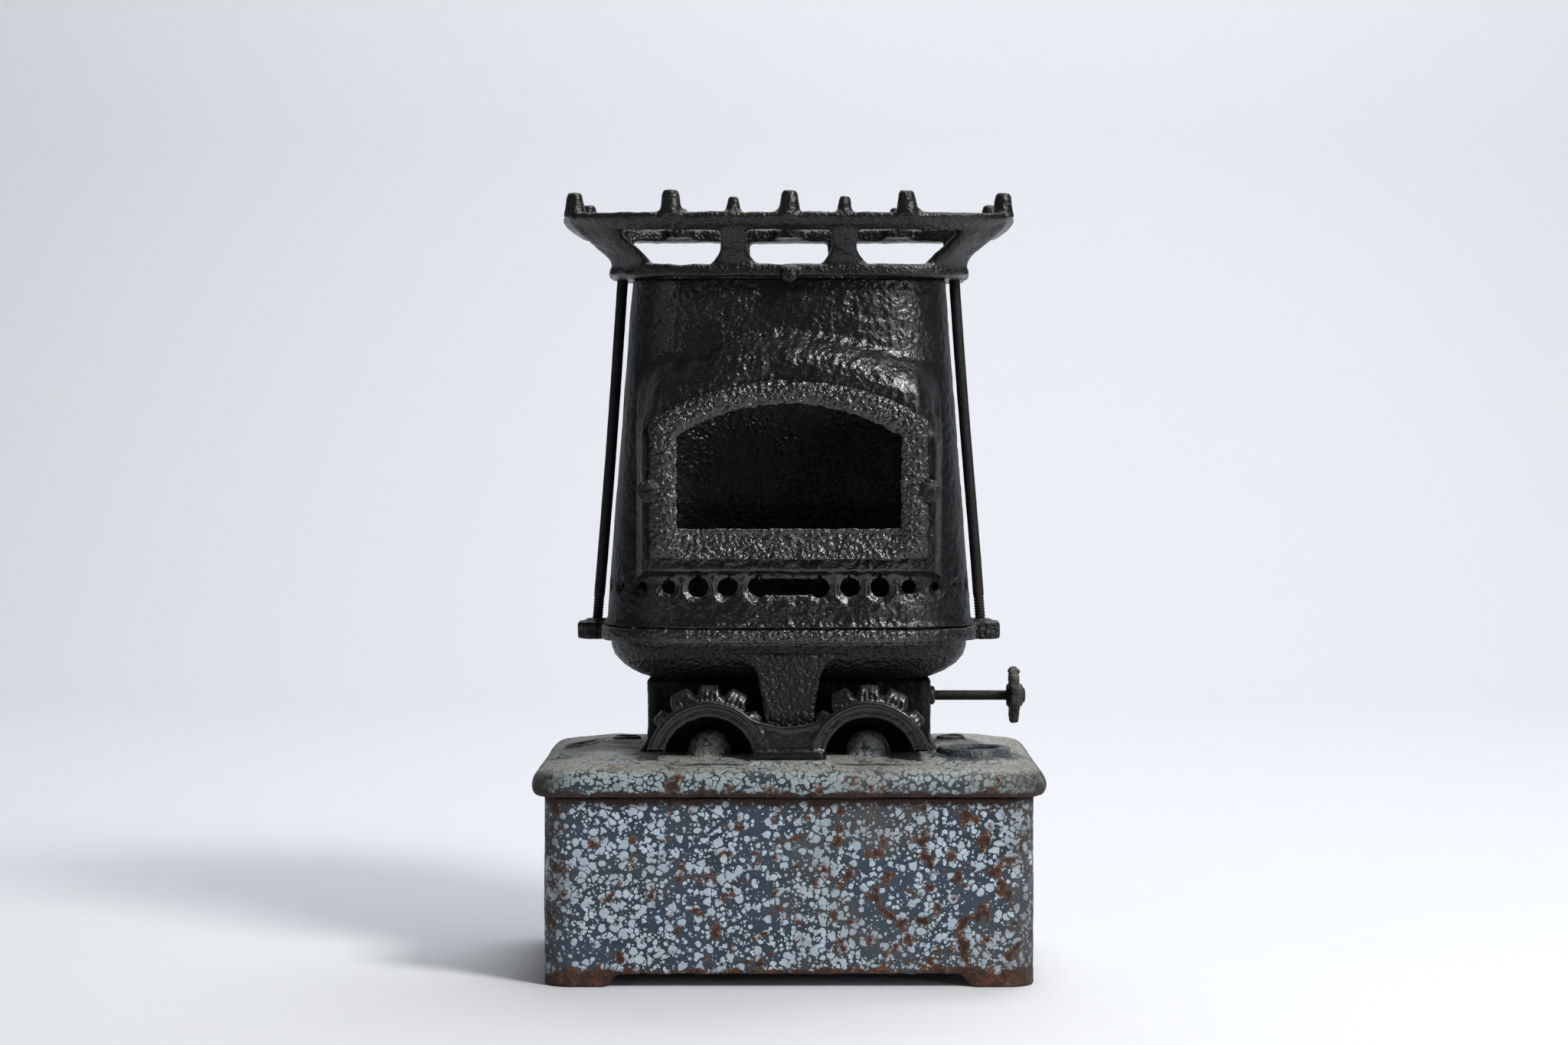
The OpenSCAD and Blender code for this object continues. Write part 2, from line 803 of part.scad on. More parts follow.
module trivet_rim() {
    levels = [[0, 6], [2.5, 2.4], [rim_t - 3, 0.2], [rim_t - 1.5, 0], [rim_t, 1.2]];
    z0 = rim_top - rim_t;
    difference() {
        loft([for (l = levels)
            at_z(oval(trivet_w / 2 - l[1], trivet_d / 2 - l[1], rim_curve), z0 + l[0])]);
        translate([0, 0, z0 - 1])
            linear_extrude(rim_t + 2)
                polygon(oval(trivet_w / 2 - rim_w, trivet_d / 2 - rim_w, rim_curve));
    }
}

module trivet() {
    collar_z = casing_top + collar_t - 2;
    rim_low = rim_top - rim_t + 1;
    color(iron)
        difference() {
            union() {
                translate([0, 0, casing_top])
                    linear_extrude(collar_t)
                        difference() {
                            polygon(oval(collar_w / 2, collar_d / 2, body_curve));
                            polygon(oval(top_w / 2 - 6, top_d / 2 - 6, body_curve));
                        }
                trivet_rim();
                for (sx = [-1, 1], sy = [-1, 1]) {
                    strut([sx * small_peg_x, sy * (collar_d / 2 - 4.5), collar_z],
                        [sx * small_peg_x, sy * (trivet_d / 2 - 8), rim_low], 22, 11, 6);
                    strut([sx * (collar_w / 2 - 12), sy * (collar_d / 2 - 23), collar_z],
                        [sx * (trivet_w / 2 - 11), sy * (trivet_d / 2 - 24), rim_low], 20, 15, 7);
                    for (x = [0, peg_pitch])
                        translate([sx * x, 0, 0])
                            rotate([0, 0, sy * 90])
                                translate([trivet_d / 2 - rim_w + 1, 0, rim_top - rim_t])
                                    rotate([90, 0, 180])
                                        linear_extrude(8, center = true)
                                            polygon([[0, 0.5], [14, 3], [14, 6.5], [0, rim_t - 0.5]]);
                    peg(sx * small_peg_x, sy * (trivet_d / 2 - peg_inset - 0.6), 5.2, peg_h - 2.5);
                    peg(sx * (trivet_w / 2 - peg_inset - 2.6), sy * corner_peg_y, 7, peg_h);
                    peg(sx * peg_pitch, sy * (trivet_d / 2 - peg_inset), 7.2, peg_h);
                }
                for (sy = [-1, 1])
                    peg(0, sy * (trivet_d / 2 - peg_inset), 7.2, peg_h);
                translate([0, -collar_d / 2 + 3, casing_top + 0.5])
                    rotate([90, 0, 0])
                        cylinder(d = 8, h = 7);
            }
            for (side = [-1, 1])
                tie_rod_bore(side);
        }
}

tank();
tank_lid();
front_bracket();
burner_housing();
wick_tube(-1);  // left_wick_tube
wick_tube(1);  // right_wick_tube
wick(-1);  // left_wick
wick(1);  // right_wick
winder_spindle();
winder_cogs();
winder_wheel();
spindle_bush();
rear_bracket();
rear_bracket_screws();
hinge_pin();
chimney_base();
chimney_casing();
window_frame();
window_screws();
trivet();
tie_rod(-1);  // left_tie_rod
tie_rod(1);  // right_tie_rod
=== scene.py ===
import bpy
import math
import numpy as np
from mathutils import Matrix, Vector


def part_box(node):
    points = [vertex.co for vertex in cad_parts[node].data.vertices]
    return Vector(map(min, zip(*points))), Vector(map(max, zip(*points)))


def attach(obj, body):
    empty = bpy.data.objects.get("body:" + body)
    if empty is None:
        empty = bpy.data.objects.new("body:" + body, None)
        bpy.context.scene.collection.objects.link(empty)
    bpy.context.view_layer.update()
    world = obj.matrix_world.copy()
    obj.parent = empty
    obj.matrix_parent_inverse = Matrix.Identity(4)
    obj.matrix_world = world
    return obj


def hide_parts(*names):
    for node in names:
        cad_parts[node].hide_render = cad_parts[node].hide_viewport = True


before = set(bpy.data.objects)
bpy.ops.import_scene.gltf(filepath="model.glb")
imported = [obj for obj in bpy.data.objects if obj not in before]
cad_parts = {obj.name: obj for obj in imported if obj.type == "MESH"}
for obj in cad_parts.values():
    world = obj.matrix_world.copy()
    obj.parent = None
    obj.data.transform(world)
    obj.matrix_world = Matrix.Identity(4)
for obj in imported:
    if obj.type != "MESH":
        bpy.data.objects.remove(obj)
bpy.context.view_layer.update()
mm = 0.001
sides = (-1, 1)
sideName = {-1: "left", 1: "right"}
towardsFront, towardsRight = (0, -1, 0), (1, 0, 0)


# small tools

def nodeBox(name):
    low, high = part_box(name)
    return np.array(low) / mm, np.array(high) / mm


def axisOf(name):
    # where a cross pin's axis meets the middle plane, to a tenth of a millimetre
    middle = sum(nodeBox(name)) / 2
    return np.array([0, *np.round(middle[1:], 1)])


def smooth(a, b, x):
    # eased step from 0 at a to 1 at b
    t = np.clip((x - a) / (b - a), 0, 1)
    return t * t * (3 - 2 * t)


def softMax(a, b, k):
    # larger of two heights with a fillet about k wide
    h = np.clip(0.5 + 0.5 * (a - b) / k, 0, 1)
    return b + (a - b) * h + k * h * (1 - h)


def signedPower(value, power):
    return np.sign(value) * np.abs(value) ** power


def noise(p, size, seed=0):
    # value noise from -1 to 1: random numbers on a cubic lattice, eased between its corners
    q = np.asarray(p, float) / size + 100.5
    i = np.floor(q).astype(np.int64)
    f = q - i
    f = f * f * (3 - 2 * f)
    total = np.zeros(q.shape[:-1])
    for corner in np.ndindex(2, 2, 2):
        # a number for the corner from its place and the seed, by mixing bits
        key = np.bitwise_xor.reduce((i + corner) * (73856093, 19349663, 83492791), axis=-1)
        key = (key ^ (seed * 2654435 + 977)) & 0xFFFFFF
        key = (key * 1103515 + 12345) & 0xFFFFFF
        value = ((key ^ (key >> 9)) & 0xFFFF) / 32767.5 - 1
        weight = np.where(corner, f, 1 - f)
        total += value * weight[..., 0] * weight[..., 1] * weight[..., 2]
    return total


def noisePair(p, size, seed):
    # a sideways shift for each point
    return np.stack([noise(p, size, seed), noise(p, size, seed + 1)], -1)


def layered(p, layers, inward=0.0):
    # layers of noise (size, depth, seed) added up, each shifted inwards by a share of its depth
    return sum(depth * (noise(p, size, seed) - inward) for size, depth, seed in layers)


def linked(name, data):
    thing = bpy.data.objects.new(name, data)
    bpy.context.scene.collection.objects.link(thing)
    return thing


def meshObject(name, verts, faces):
    mesh = bpy.data.meshes.new(name)
    mesh.from_pydata((np.asarray(verts) * mm).tolist(), [], faces)
    mesh.validate()
    mesh.shade_smooth()
    return linked(name, mesh)


def surface(rings, loop=False):
    # quads between rings of points; the last ring meets the first, or both are closed on a middle point
    rows, cols = rings.shape[:2]
    verts = rings.reshape(-1, 3)
    r = np.arange(rows if loop else rows - 1)[:, None]
    c = np.arange(cols)
    after, over = (c + 1) % cols, (r + 1) % rows
    corners = [r * cols + c, r * cols + after, over * cols + after, over * cols + c]
    faces = np.stack(corners, -1).reshape(-1, 4).tolist()
    if not loop:
        middle, top = np.full(cols, len(verts)), (rows - 1) * cols
        verts = np.vstack([verts, rings[0].mean(0), rings[-1].mean(0)])
        faces += np.stack([after, c, middle], -1).tolist()
        faces += np.stack([top + c, top + after, middle + 1], -1).tolist()
    return verts, faces


def joined(*shells):
    # several (verts, faces) shells as one
    verts, faces, start = [], [], 0
    for v, f in shells:
        verts.append(np.asarray(v))
        faces += [[i + start for i in face] for face in f]
        start += len(v)
    return np.vstack(verts), faces


def even(outline, count):
    # closed outline resampled to equal steps along its length
    closed = np.vstack([outline, outline[:1]])
    length = np.concatenate([[0], np.cumsum(np.linalg.norm(np.diff(closed, axis=0), axis=1))])
    s = np.arange(count) / count * length[-1]
    return np.stack([np.interp(s, length, closed[:, 0]), np.interp(s, length, closed[:, 1])], -1)


def angles(count):
    return np.linspace(0, 2 * np.pi, count, endpoint=False)


def ovalOutline(a, b, power, count):
    # superellipse |x/a|^power + |y/b|^power = 1, from the front round to the right
    t = np.linspace(-np.pi / 2, 1.5 * np.pi, 4 * count, endpoint=False)
    x, y = a * signedPower(np.cos(t), 2 / power), b * signedPower(np.sin(t), 2 / power)
    return even(np.stack([x, y], -1), count)


def roundedOutline(w, d, r, count):
    # rectangle with round corners, from the middle of its front round to the right
    t = np.linspace(0, np.pi / 2, 12)
    points = [[0, -d / 2]]
    for cx, cy, a in ((1, -1, -np.pi / 2), (1, 1, 0), (-1, 1, np.pi / 2), (-1, -1, np.pi)):
        x, y = cx * (w / 2 - r) + r * np.cos(t + a), cy * (d / 2 - r) + r * np.sin(t + a)
        points += np.stack([x, y], -1).tolist()
    return even(np.array(points), count)


def ring(outline, z):
    return np.column_stack([outline, np.broadcast_to(z, len(outline))])


def stacked(outline, *heights):
    # solid through an outline at each height
    return surface(np.array([ring(outline, z) for z in heights]))


def prism(outline, z0, z1):
    # the same with flat ends of one face each
    n = len(outline)
    ends = [list(range(n))[::-1], list(range(n, 2 * n))]
    verts, faces = stacked(outline, z0, z1)
    return verts[:2 * n], faces[:n] + ends


def insetRings(w, d, corner, shrink, least, count):
    # gives the ring of a round-cornered rectangle set in by i at height z; its corners shrink with i
    return lambda i, z: ring(roundedOutline(w - 2 * i, d - 2 * i, max(corner - shrink * i, least), count), z)


def slab(outline, y0, y1):
    # front outline of (x, z) points made a solid from y0 back to y1
    o = np.asarray(outline, float)
    x, z = o.T
    if np.sum(x * np.roll(z, -1) - np.roll(x, -1) * z) < 0:
        o = o[::-1]
    n = len(o)
    k = np.arange(n)
    after = (k + 1) % n
    quads = np.stack([after, k, k + n, after + n], -1).tolist()
    verts = np.vstack([np.insert(o, 1, y, axis=1) for y in (y0, y1)])
    return verts, quads + [k.tolist(), (k[::-1] + n).tolist()]


def sideSlab(outline, x0, x1):
    # side outline of (y, z) points made a solid from x0 to x1
    verts, faces = slab(outline, x0, x1)
    return verts[:, [1, 0, 2]], [face[::-1] for face in faces]


def turned(r, z, count):
    # rings round Z; r and z hold a row for each ring
    t = angles(count)
    return np.stack(np.broadcast_arrays(r * np.cos(t), r * np.sin(t), z), -1)


def lathe(profile, count, wobble=0.0, seed=0, loop=False):
    # (radius, height) profile turned round Z, its radius uneven by a share called wobble
    r, z = np.array(profile, float).T[..., None]
    rings = turned(r, z, count)
    if wobble:
        rings[..., :2] *= 1 + wobble * noise(rings, 3.0, seed)[..., None]
    return surface(rings, loop)


def rod(r, z0, z1, count=32):
    # plain round bar, also used to cut holes
    return lathe([(0.1, z0), (r, z0), (r, z1), (0.1, z1)], count)


def aimed(shell, direction, at):
    # a shell's +Z turned to a direction, then moved
    turn = np.array(Vector((0, 0, 1)).rotation_difference(Vector(direction)).to_matrix())
    return shell[0] @ turn.T + np.asarray(at, float), shell[1]


def moved(shell, *by):
    return shell[0] + np.array(by), shell[1]


def headings(path):
    # unit direction of travel at each point of a path
    ahead = np.gradient(path, axis=0)
    return ahead / np.linalg.norm(ahead, axis=1)[:, None]


def perPoint(piece, what):
    values = np.empty(len(piece.data.vertices) * 3)
    piece.data.vertices.foreach_get(what, values)
    return values.reshape(-1, 3)


def readMesh(piece):
    return perPoint(piece, "co") / mm


def writeMesh(piece, verts):
    piece.data.vertices.foreach_set("co", (verts * mm).ravel())
    piece.data.update()


def pushed(piece, amount):
    # the piece's points moved along their normals
    return readMesh(piece) + perPoint(piece, "normal") * amount[:, None]


def roughen(piece, *layers):
    # uneven skin from layers of noise, mostly inwards so that the piece stays inside its own size
    writeMesh(piece, pushed(piece, layered(readMesh(piece), layers, 0.45)))


def modify(piece, kind, **settings):
    modifier = piece.modifiers.new(kind, kind)
    for key, value in settings.items():
        setattr(modifier, key, value)


def applied(piece):
    # the piece's modifiers made into its mesh
    bpy.context.view_layer.update()
    solid = bpy.data.meshes.new_from_object(piece.evaluated_get(bpy.context.evaluated_depsgraph_get()))
    old = piece.data
    piece.modifiers.clear()
    piece.data = solid
    bpy.data.meshes.remove(old)
    piece.data.shade_smooth()
    return piece


def cast(piece, voxel, rounds):
    # overlapping solids melted into one casting with soft inside corners
    modify(piece, "REMESH", mode="VOXEL", voxel_size=voxel * mm)
    modify(piece, "SMOOTH", factor=0.5, iterations=rounds)
    return applied(piece)


def cutAway(piece, shells):
    # boolean with one joined cutter, whose shells must not overlap
    cutter = meshObject("cutter", *joined(*shells))
    modify(piece, "BOOLEAN", operation="DIFFERENCE", solver="MANIFOLD", object=cutter)
    applied(piece)
    bpy.data.objects.remove(cutter)
    return piece


def takeIn(piece, extra):
    # another object joined to the piece's own mesh
    with bpy.context.temp_override(active_object=piece, selected_editable_objects=[piece, extra]):
        bpy.ops.object.join()
    piece.data.shade_smooth()
    return piece


def withShells(piece, *shells):
    return takeIn(piece, meshObject("extra", *joined(*shells)))


def slotBar(turn, *at):
    # corners of a thin bar at an angle, to cut a screw's slot
    c, s = math.cos(turn), math.sin(turn)
    bar = np.array([[-5, -0.55], [5, -0.55], [5, 0.55], [-5, 0.55]])
    return bar @ np.array([[c, s], [-s, c]]) + np.array(at)


def place(piece, body, material, slot, *nodes):
    piece.data.materials.clear()
    piece.data.materials.append(material)
    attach(piece, body)
    if nodes:
        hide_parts(*nodes)
    print(piece.name, len(piece.data.polygons), "faces")
    return piece


pinAxis, spindleAxis = axisOf("hinge_pin"), axisOf("winder_spindle")


# camera, light and floor

view = {"lens": 85, "sensor": 36, "x": -2.1, "distance": 1606, "height": 241.4, "lookDown": 1.806}
camera = linked("camera", bpy.data.cameras.new("camera"))
camera.data.lens, camera.data.sensor_width = view["lens"], view["sensor"]
camera.location = (view["x"] * mm, -view["distance"] * mm, view["height"] * mm)
camera.rotation_euler = (math.radians(90 - view["lookDown"]), 0, 0)
bpy.context.scene.camera = camera

stove, backWall = (0, 0, 0.15), (0, 1.9, 0.8)
lamps = {  # name: (place in metres, what it is aimed at, size, power, colour)
    "key": ((0.85, -0.95, 1.25), stove, 0.42, 22.5, (1.0, 0.985, 0.96)),
    "top": ((0.25, 0.0, 1.7), stove, 0.8, 6.0, (0.96, 0.98, 1.0)),
    "low": ((1.15, -1.25, 0.4), stove, 0.5, 3.0, (0.97, 0.985, 1.0)),
    "left": ((-1.5, -1.0, 0.7), stove, 0.7, 1.6, (0.94, 0.97, 1.0)),
    "wall": ((0.3, 0.8, 2.1), backWall, 1.4, 32.0, (0.97, 0.985, 1.0)),
}
for name, (at, aim, size, power, colour) in lamps.items():
    lamp = linked(name, bpy.data.lights.new(name, "AREA"))
    lamp.data.shape, lamp.data.size, lamp.data.energy, lamp.data.color = "DISK", size, power, colour
    lamp.location = at
    lamp.rotation_euler = (Vector(aim) - Vector(at)).to_track_quat("-Z", "Y").to_euler()


def linear(hexColour):
    # sRGB hex string to linear RGBA
    parts = [int(hexColour[i:i + 2], 16) / 255 for i in (1, 3, 5)]
    return tuple([c / 12.92 if c <= 0.04045 else ((c + 0.055) / 1.055) ** 2.4 for c in parts] + [1.0])


world = bpy.data.worlds.new("studio")
world.use_nodes = True
sky = world.node_tree.nodes["Background"]
sky.inputs["Color"].default_value = linear("#dfe3e8")
sky.inputs["Strength"].default_value = 0.08
bpy.context.scene.world = world
bpy.context.scene.view_settings.view_transform = "Standard"


# node tools: each adds to the tree of the material begun last, and gives back what it added

drawing = {}


def connect(node, key, value):
    # an input takes a value, a node's first output, or (node, output)
    if isinstance(value, bpy.types.Node):
        value = (value, 0)
    if isinstance(value, tuple) and isinstance(value[0], bpy.types.Node):
        drawing["tree"].links.new(value[0].outputs[value[1]], node.inputs[key])
    else:
        node.inputs[key].default_value = value


def add(kind, inputs=None, **settings):
    node = drawing["tree"].nodes.new("ShaderNode" + kind)
    for key, value in settings.items():
        setattr(node, key, value)
    for key, value in (inputs or {}).items():
        connect(node, key, value)
    return node


def newMaterial(name):
    material = bpy.data.materials.new(name)
    material.use_nodes = True
    drawing["tree"] = material.node_tree
    drawing["tree"].nodes.clear()
    shader = add("BsdfPrincipled")
    add("OutputMaterial", {"Surface": shader})
    return material, shader


def whereabouts():
    # the object's own point in millimetres, its three parts, and how far its surface faces up
    where = add("TexCoord")
    p = add("VectorMath", {0: (where, "Object"), "Scale": 1 / mm}, operation="SCALE")
    axis = add("SeparateXYZ", {0: p})
    return p, (axis, "X"), (axis, "Y"), (axis, "Z"), (add("SeparateXYZ", {0: (where, "Normal")}), "Z")


def mix(factor, a, b):
    # a at factor 0, b at factor 1; a colour may be given as hex
    a, b = [linear(c) if isinstance(c, str) else c for c in (a, b)]
    return (add("Mix", {0: factor, 6: a, 7: b}, data_type="RGBA"), 2)


def step(value, low, high, floor=0.0, top=1.0, ease="SMOOTHSTEP"):
    return add("MapRange", {0: value, "From Min": low, "From Max": high, "To Min": floor, "To Max": top},
               interpolation_type=ease)


def line(*mapping):
    return step(*mapping, ease="LINEAR")


def maths(operation):
    return lambda a, b=0.0, c=0.0: add("Math", {0: a, 1: b, 2: c}, operation=operation)


times, plus, minus, larger = maths("MULTIPLY"), maths("ADD"), maths("SUBTRACT"), maths("MAXIMUM")
timesPlus, sizeOf, root = maths("MULTIPLY_ADD"), maths("ABSOLUTE"), maths("SQRT")


def cloud(p, size, detail, roughness=0.5):
    return add("TexNoise", {"Vector": p, "Scale": 1 / size, "Detail": detail, "Roughness": roughness})


def cells(p, size, feature):
    return add("TexVoronoi", {"Vector": p, "Scale": 1 / size}, feature=feature)


def strayed(p, size, amount):
    # points shifted by a cloud of the given size
    stray = add("VectorMath", {0: (cloud(p, size, 3.0), "Color"), 1: (0.5, 0.5, 0.5)}, operation="SUBTRACT")
    shift = add("VectorMath", {0: stray, "Scale": amount}, operation="SCALE")
    return add("VectorMath", {0: p, 1: shift}, operation="ADD")


# backdrop

backdropShape = {"halfWidth": 3200, "front": -620, "back": 1900, "bend": 500, "height": 2600}


def buildBackdrop():
    # floor running back into a wall through a quarter round
    s = backdropShape
    t = np.linspace(0, np.pi / 2, 24)
    bend = np.stack([s["back"] - s["bend"] + s["bend"] * np.sin(t), s["bend"] - s["bend"] * np.cos(t)], -1)
    path = np.array([[s["front"], 0]] + bend.tolist() + [[s["back"], s["height"]]])
    n = len(path)
    edges = [np.column_stack([np.full(n, x * s["halfWidth"]), path]) for x in sides]
    k = np.arange(n - 1)
    return meshObject("backdrop", np.vstack(edges), np.stack([k, k + n, k + n + 1, k + 1], -1).tolist())


backdrop = buildBackdrop()
paper, shader = newMaterial("matt studio paper")
connect(shader, "Roughness", 0.95)
connect(shader, "Specular IOR Level", 0.1)
connect(shader, "Base Color", linear("#e3e5e9"))
backdrop.data.materials.append(paper)
print("stage ready")


# materials

def enamelMaterial(name, look):
    # vitreous enamel on cast iron, sponged with pale frit: round pale blotches on a slate ground that
    # rust has broken through in spots, with grime in the seams and dust on what faces up
    material, shader = newMaterial(name)
    p, x, y, z, facing = whereabouts()
    q = strayed(p, 3.4, look["wander"])
    drift, fine, patch = cloud(p, 26.0, 2.0), cloud(p, 0.9, 4.0), cloud(p, 8.0, 6.0, 0.62)
    speckle = step(fine, 0.3, 0.7)

    def around(discs):
        # 1 inside discs of (x, y, radius) with soft edges, 0 outside
        cover = 0.0
        for cx, cy, r in discs:
            beside, ahead = minus(x, cx), minus(y, cy)
            away = root(timesPlus(ahead, ahead, times(beside, beside)))
            cover = larger(cover, step(away, r + 1.5, r - 1.0))
        return cover

    # blotches: round cells of each size, kept apart by thin dark gaps
    crowd = step(drift, 0.3, 0.7, -look["crowd"], look["crowd"])
    drops, tints = [], []
    for size, low, spread in look["blotches"]:
        cell = cells(q, size, "F1")
        tints.append(add("SeparateColor", {0: (cell, "Color")}))
        reach = plus(timesPlus(tints[-1], spread, low), crowd)
        disc = step(minus(reach, (cell, "Distance")), 0.0, 0.1)
        drops.append(times(disc, step(cells(q, size, "DISTANCE_TO_EDGE"), 0.02, 0.085)))
    pale, tint = drops[0], tints[0]
    for drop in drops[1:]:
        pale = larger(pale, drop)
    ground = mix(step(drift, 0.35, 0.65), look["ground"], look["groundDeep"])
    shade = mix(step(fine, 0.35, 0.7), look["pale"], look["paleBlue"])
    frit = mix(times(tint, 0.45), shade, look["paleDull"])
    coat = mix(step(pale, 0.15, 0.9), ground, frit)
    haze = times(step(cloud(p, 34.0, 3.0), 0.46, 0.66), step(x, -30.0, 40.0, 0.15, look["haze"]))
    hazed = mix(haze, coat, "#5b5547")

    # rust: ragged clusters that take whole blotches, thicker to the right, at the feet and in the seam
    spot = timesPlus(tint, 0.09, cloud(p, look["rustSize"], 4.0, 0.6))
    chance = plus(spot, step(x, -100.0, 100.0, look["rustLeft"], look["rustRight"]))
    foot = step(plus(step(z, *look["footRust"], 0.62, 0.0), patch), 0.86, 0.98)
    seam = step(plus(step(z, *look["seam"], 0.0, 0.6), patch), 0.78, 1.0)
    rust = larger(step(chance, 0.625, 0.67), foot)
    rustTone = cloud(p, 2.4, 7.0, 0.72)
    ramp = add("ValToRGB", {0: rustTone})
    for stop, (at, tone) in enumerate(look["rustTones"]):
        if stop > 1:
            ramp.color_ramp.elements.new(at)
        ramp.color_ramp.elements[stop].position = at
        ramp.color_ramp.elements[stop].color = linear(tone)
    stained = mix(step(chance, 0.58, 0.65, 0.0, 0.55), hazed, "#54453a")
    fresh = times(step(chance, 0.625, 0.645), step(chance, 0.69, 0.645, 0.0, 0.6))
    eaten = mix(step(chance, 0.67, 0.75, 0.0, 0.8), mix(fresh, (ramp, 0), "#86573a"), "#2a1c18")
    rusted = mix(seam, mix(rust, stained, eaten), mix(rustTone, "#2a1f1b", "#4a3127"))
    soilFrom, soilTo, soilMost = look["soil"]
    edgeSoil = step(sizeOf(x), 84.0, 103.0, 0.0, look["edgeSoil"])
    grime = larger(step(patch, soilFrom, soilTo, 0.0, soilMost), times(edgeSoil, step(patch, 0.3, 0.6)))
    soiled = mix(grime, rusted, look["grime"])

    # dust lies on what faces up, cracked like dry mud; necks and plateaus are worn through the enamel and
    # dark, and a painted shadow of the bracket's arches lies on the lid in two dark streaks just in front of
    # the bracket
    darkPatches = times(around(look["darkPatches"]), step(patch, 0.3, 0.55, 0.65, 1.0))
    across = sizeOf(x)
    # painted shadow: the bracket's arches shade the lid in two soft dark bands just in front of them; the
    # bands are added to the dark patches and take their colour
    paintedArchShadow = times(step(sizeOf(minus(y, look["paintedArchShadow"])), 2.6, 0.4), step(across, 62.0, 36.0))
    darkPatches = larger(darkPatches, times(paintedArchShadow, step(across, 14.0, 24.0)))
    # the dark patches, worn spots and painted arch shadow alike, take a dark speckled iron colour
    wornAndShaded = mix(darkPatches, soiled, mix(speckle, "#1f2224", "#474d50"))
    up = larger(minus(step(facing, 0.62, 0.97), darkPatches), around(look["dusted"]))
    settle = step(patch, look["dustFrom"], look["dustFrom"] + 0.3)
    dust = times(times(up, settle), step(cells(q, 2.6, "DISTANCE_TO_EDGE"), 0.0, 0.12, 0.25, 0.95))
    darkDust, lightDust = mix(drift, "#8b8b89", "#7f7b6c"), mix(drift, "#b4b4b3", "#a8a493")
    connect(shader, "Base Color", mix(dust, wornAndShaded, mix(speckle, darkDust, lightDust)))

    worn = larger(larger(larger(rust, seam), dust), grime)
    connect(shader, "Roughness", step(worn, 0.0, 1.0, look["gloss"], 0.88))
    height = timesPlus(pale, look["lift"], times(times(rustTone, rust), 1.1))
    height = timesPlus(patch, 0.5, timesPlus(fine, 0.1, height))
    connect(shader, "Normal", add("Bump", {"Height": height, "Distance": mm, "Strength": 0.9}))
    return material


tankEnamel = enamelMaterial("sponged vitreous enamel, rusted", {
    "wander": 2.2, "blotches": [(4.0, 0.27, 0.36), (2.4, 0.17, 0.36), (1.5, 0.07, 0.36)], "crowd": 0.09,
    "ground": "#31404f", "groundDeep": "#26323e", "pale": "#cbd8e2", "paleBlue": "#aabccb",
    "paleDull": "#8595a4", "haze": 0.45, "rustSize": 8.5, "rustLeft": -0.035, "rustRight": 0.018,
    "footRust": (3.0, 15.0), "seam": (71.0, 79.0), "grime": "#3a342f", "soil": (0.6, 0.8, 0.7),
    "rustTones": [(0.3, "#201715"), (0.43, "#37261f"), (0.53, "#4d3126"), (0.62, "#70442a"), (0.7, "#40291e")],
    # the painted arch shadow is set far off at y 900, so the tank has none
    "edgeSoil": 0.8, "dustFrom": 2.0, "paintedArchShadow": 900.0, "darkPatches": [], "dusted": [], "gloss": 0.34, "lift": 0.2})
lidEnamel = enamelMaterial("sponged vitreous enamel, dusty", {
    "wander": 2.6, "blotches": [(3.5, 0.46, 0.26), (2.1, 0.34, 0.28)], "crowd": 0.05, "ground": "#2c3740",
    "groundDeep": "#23292f", "pale": "#a3b0b2", "paleBlue": "#788c98", "paleDull": "#868d86", "haze": 0.5,
    "rustSize": 13.0, "rustLeft": -0.05, "rustRight": -0.05, "footRust": (79.0, 86.0), "seam": (200.0, 201.0),
    "rustTones": [(0.3, "#1c1614"), (0.45, "#2f221d"), (0.58, "#443028"), (0.7, "#5c3d2c")],
    # the painted arch shadow lies along y -68, just in front of the bracket
    "grime": "#332d29", "soil": (0.56, 0.78, 0.7), "edgeSoil": 0.95, "dustFrom": 0.28, "paintedArchShadow": -68.0,
    "darkPatches": [(78, -45, 19.5), (-71, 14, 10), (71, 14, 10), (-90, 14, 8.5), (-94, -36, 8.5), (98, -29, 7.5)],
    "dusted": [(-33.5, -44.0, 10.5), (33.5, -44.0, 10.5)], "gloss": 0.45, "lift": 0.22})

ironLook = {"pebbleSize": 1.6, "waveSize": 9.0, "calm": (0.3, 0.6), "calmKeep": 0.4, "wave": 0.2, "dull": 0.0,
            "grain": 0.12, "rust": 0.2, "dust": 0.2, "shine": 0.5}


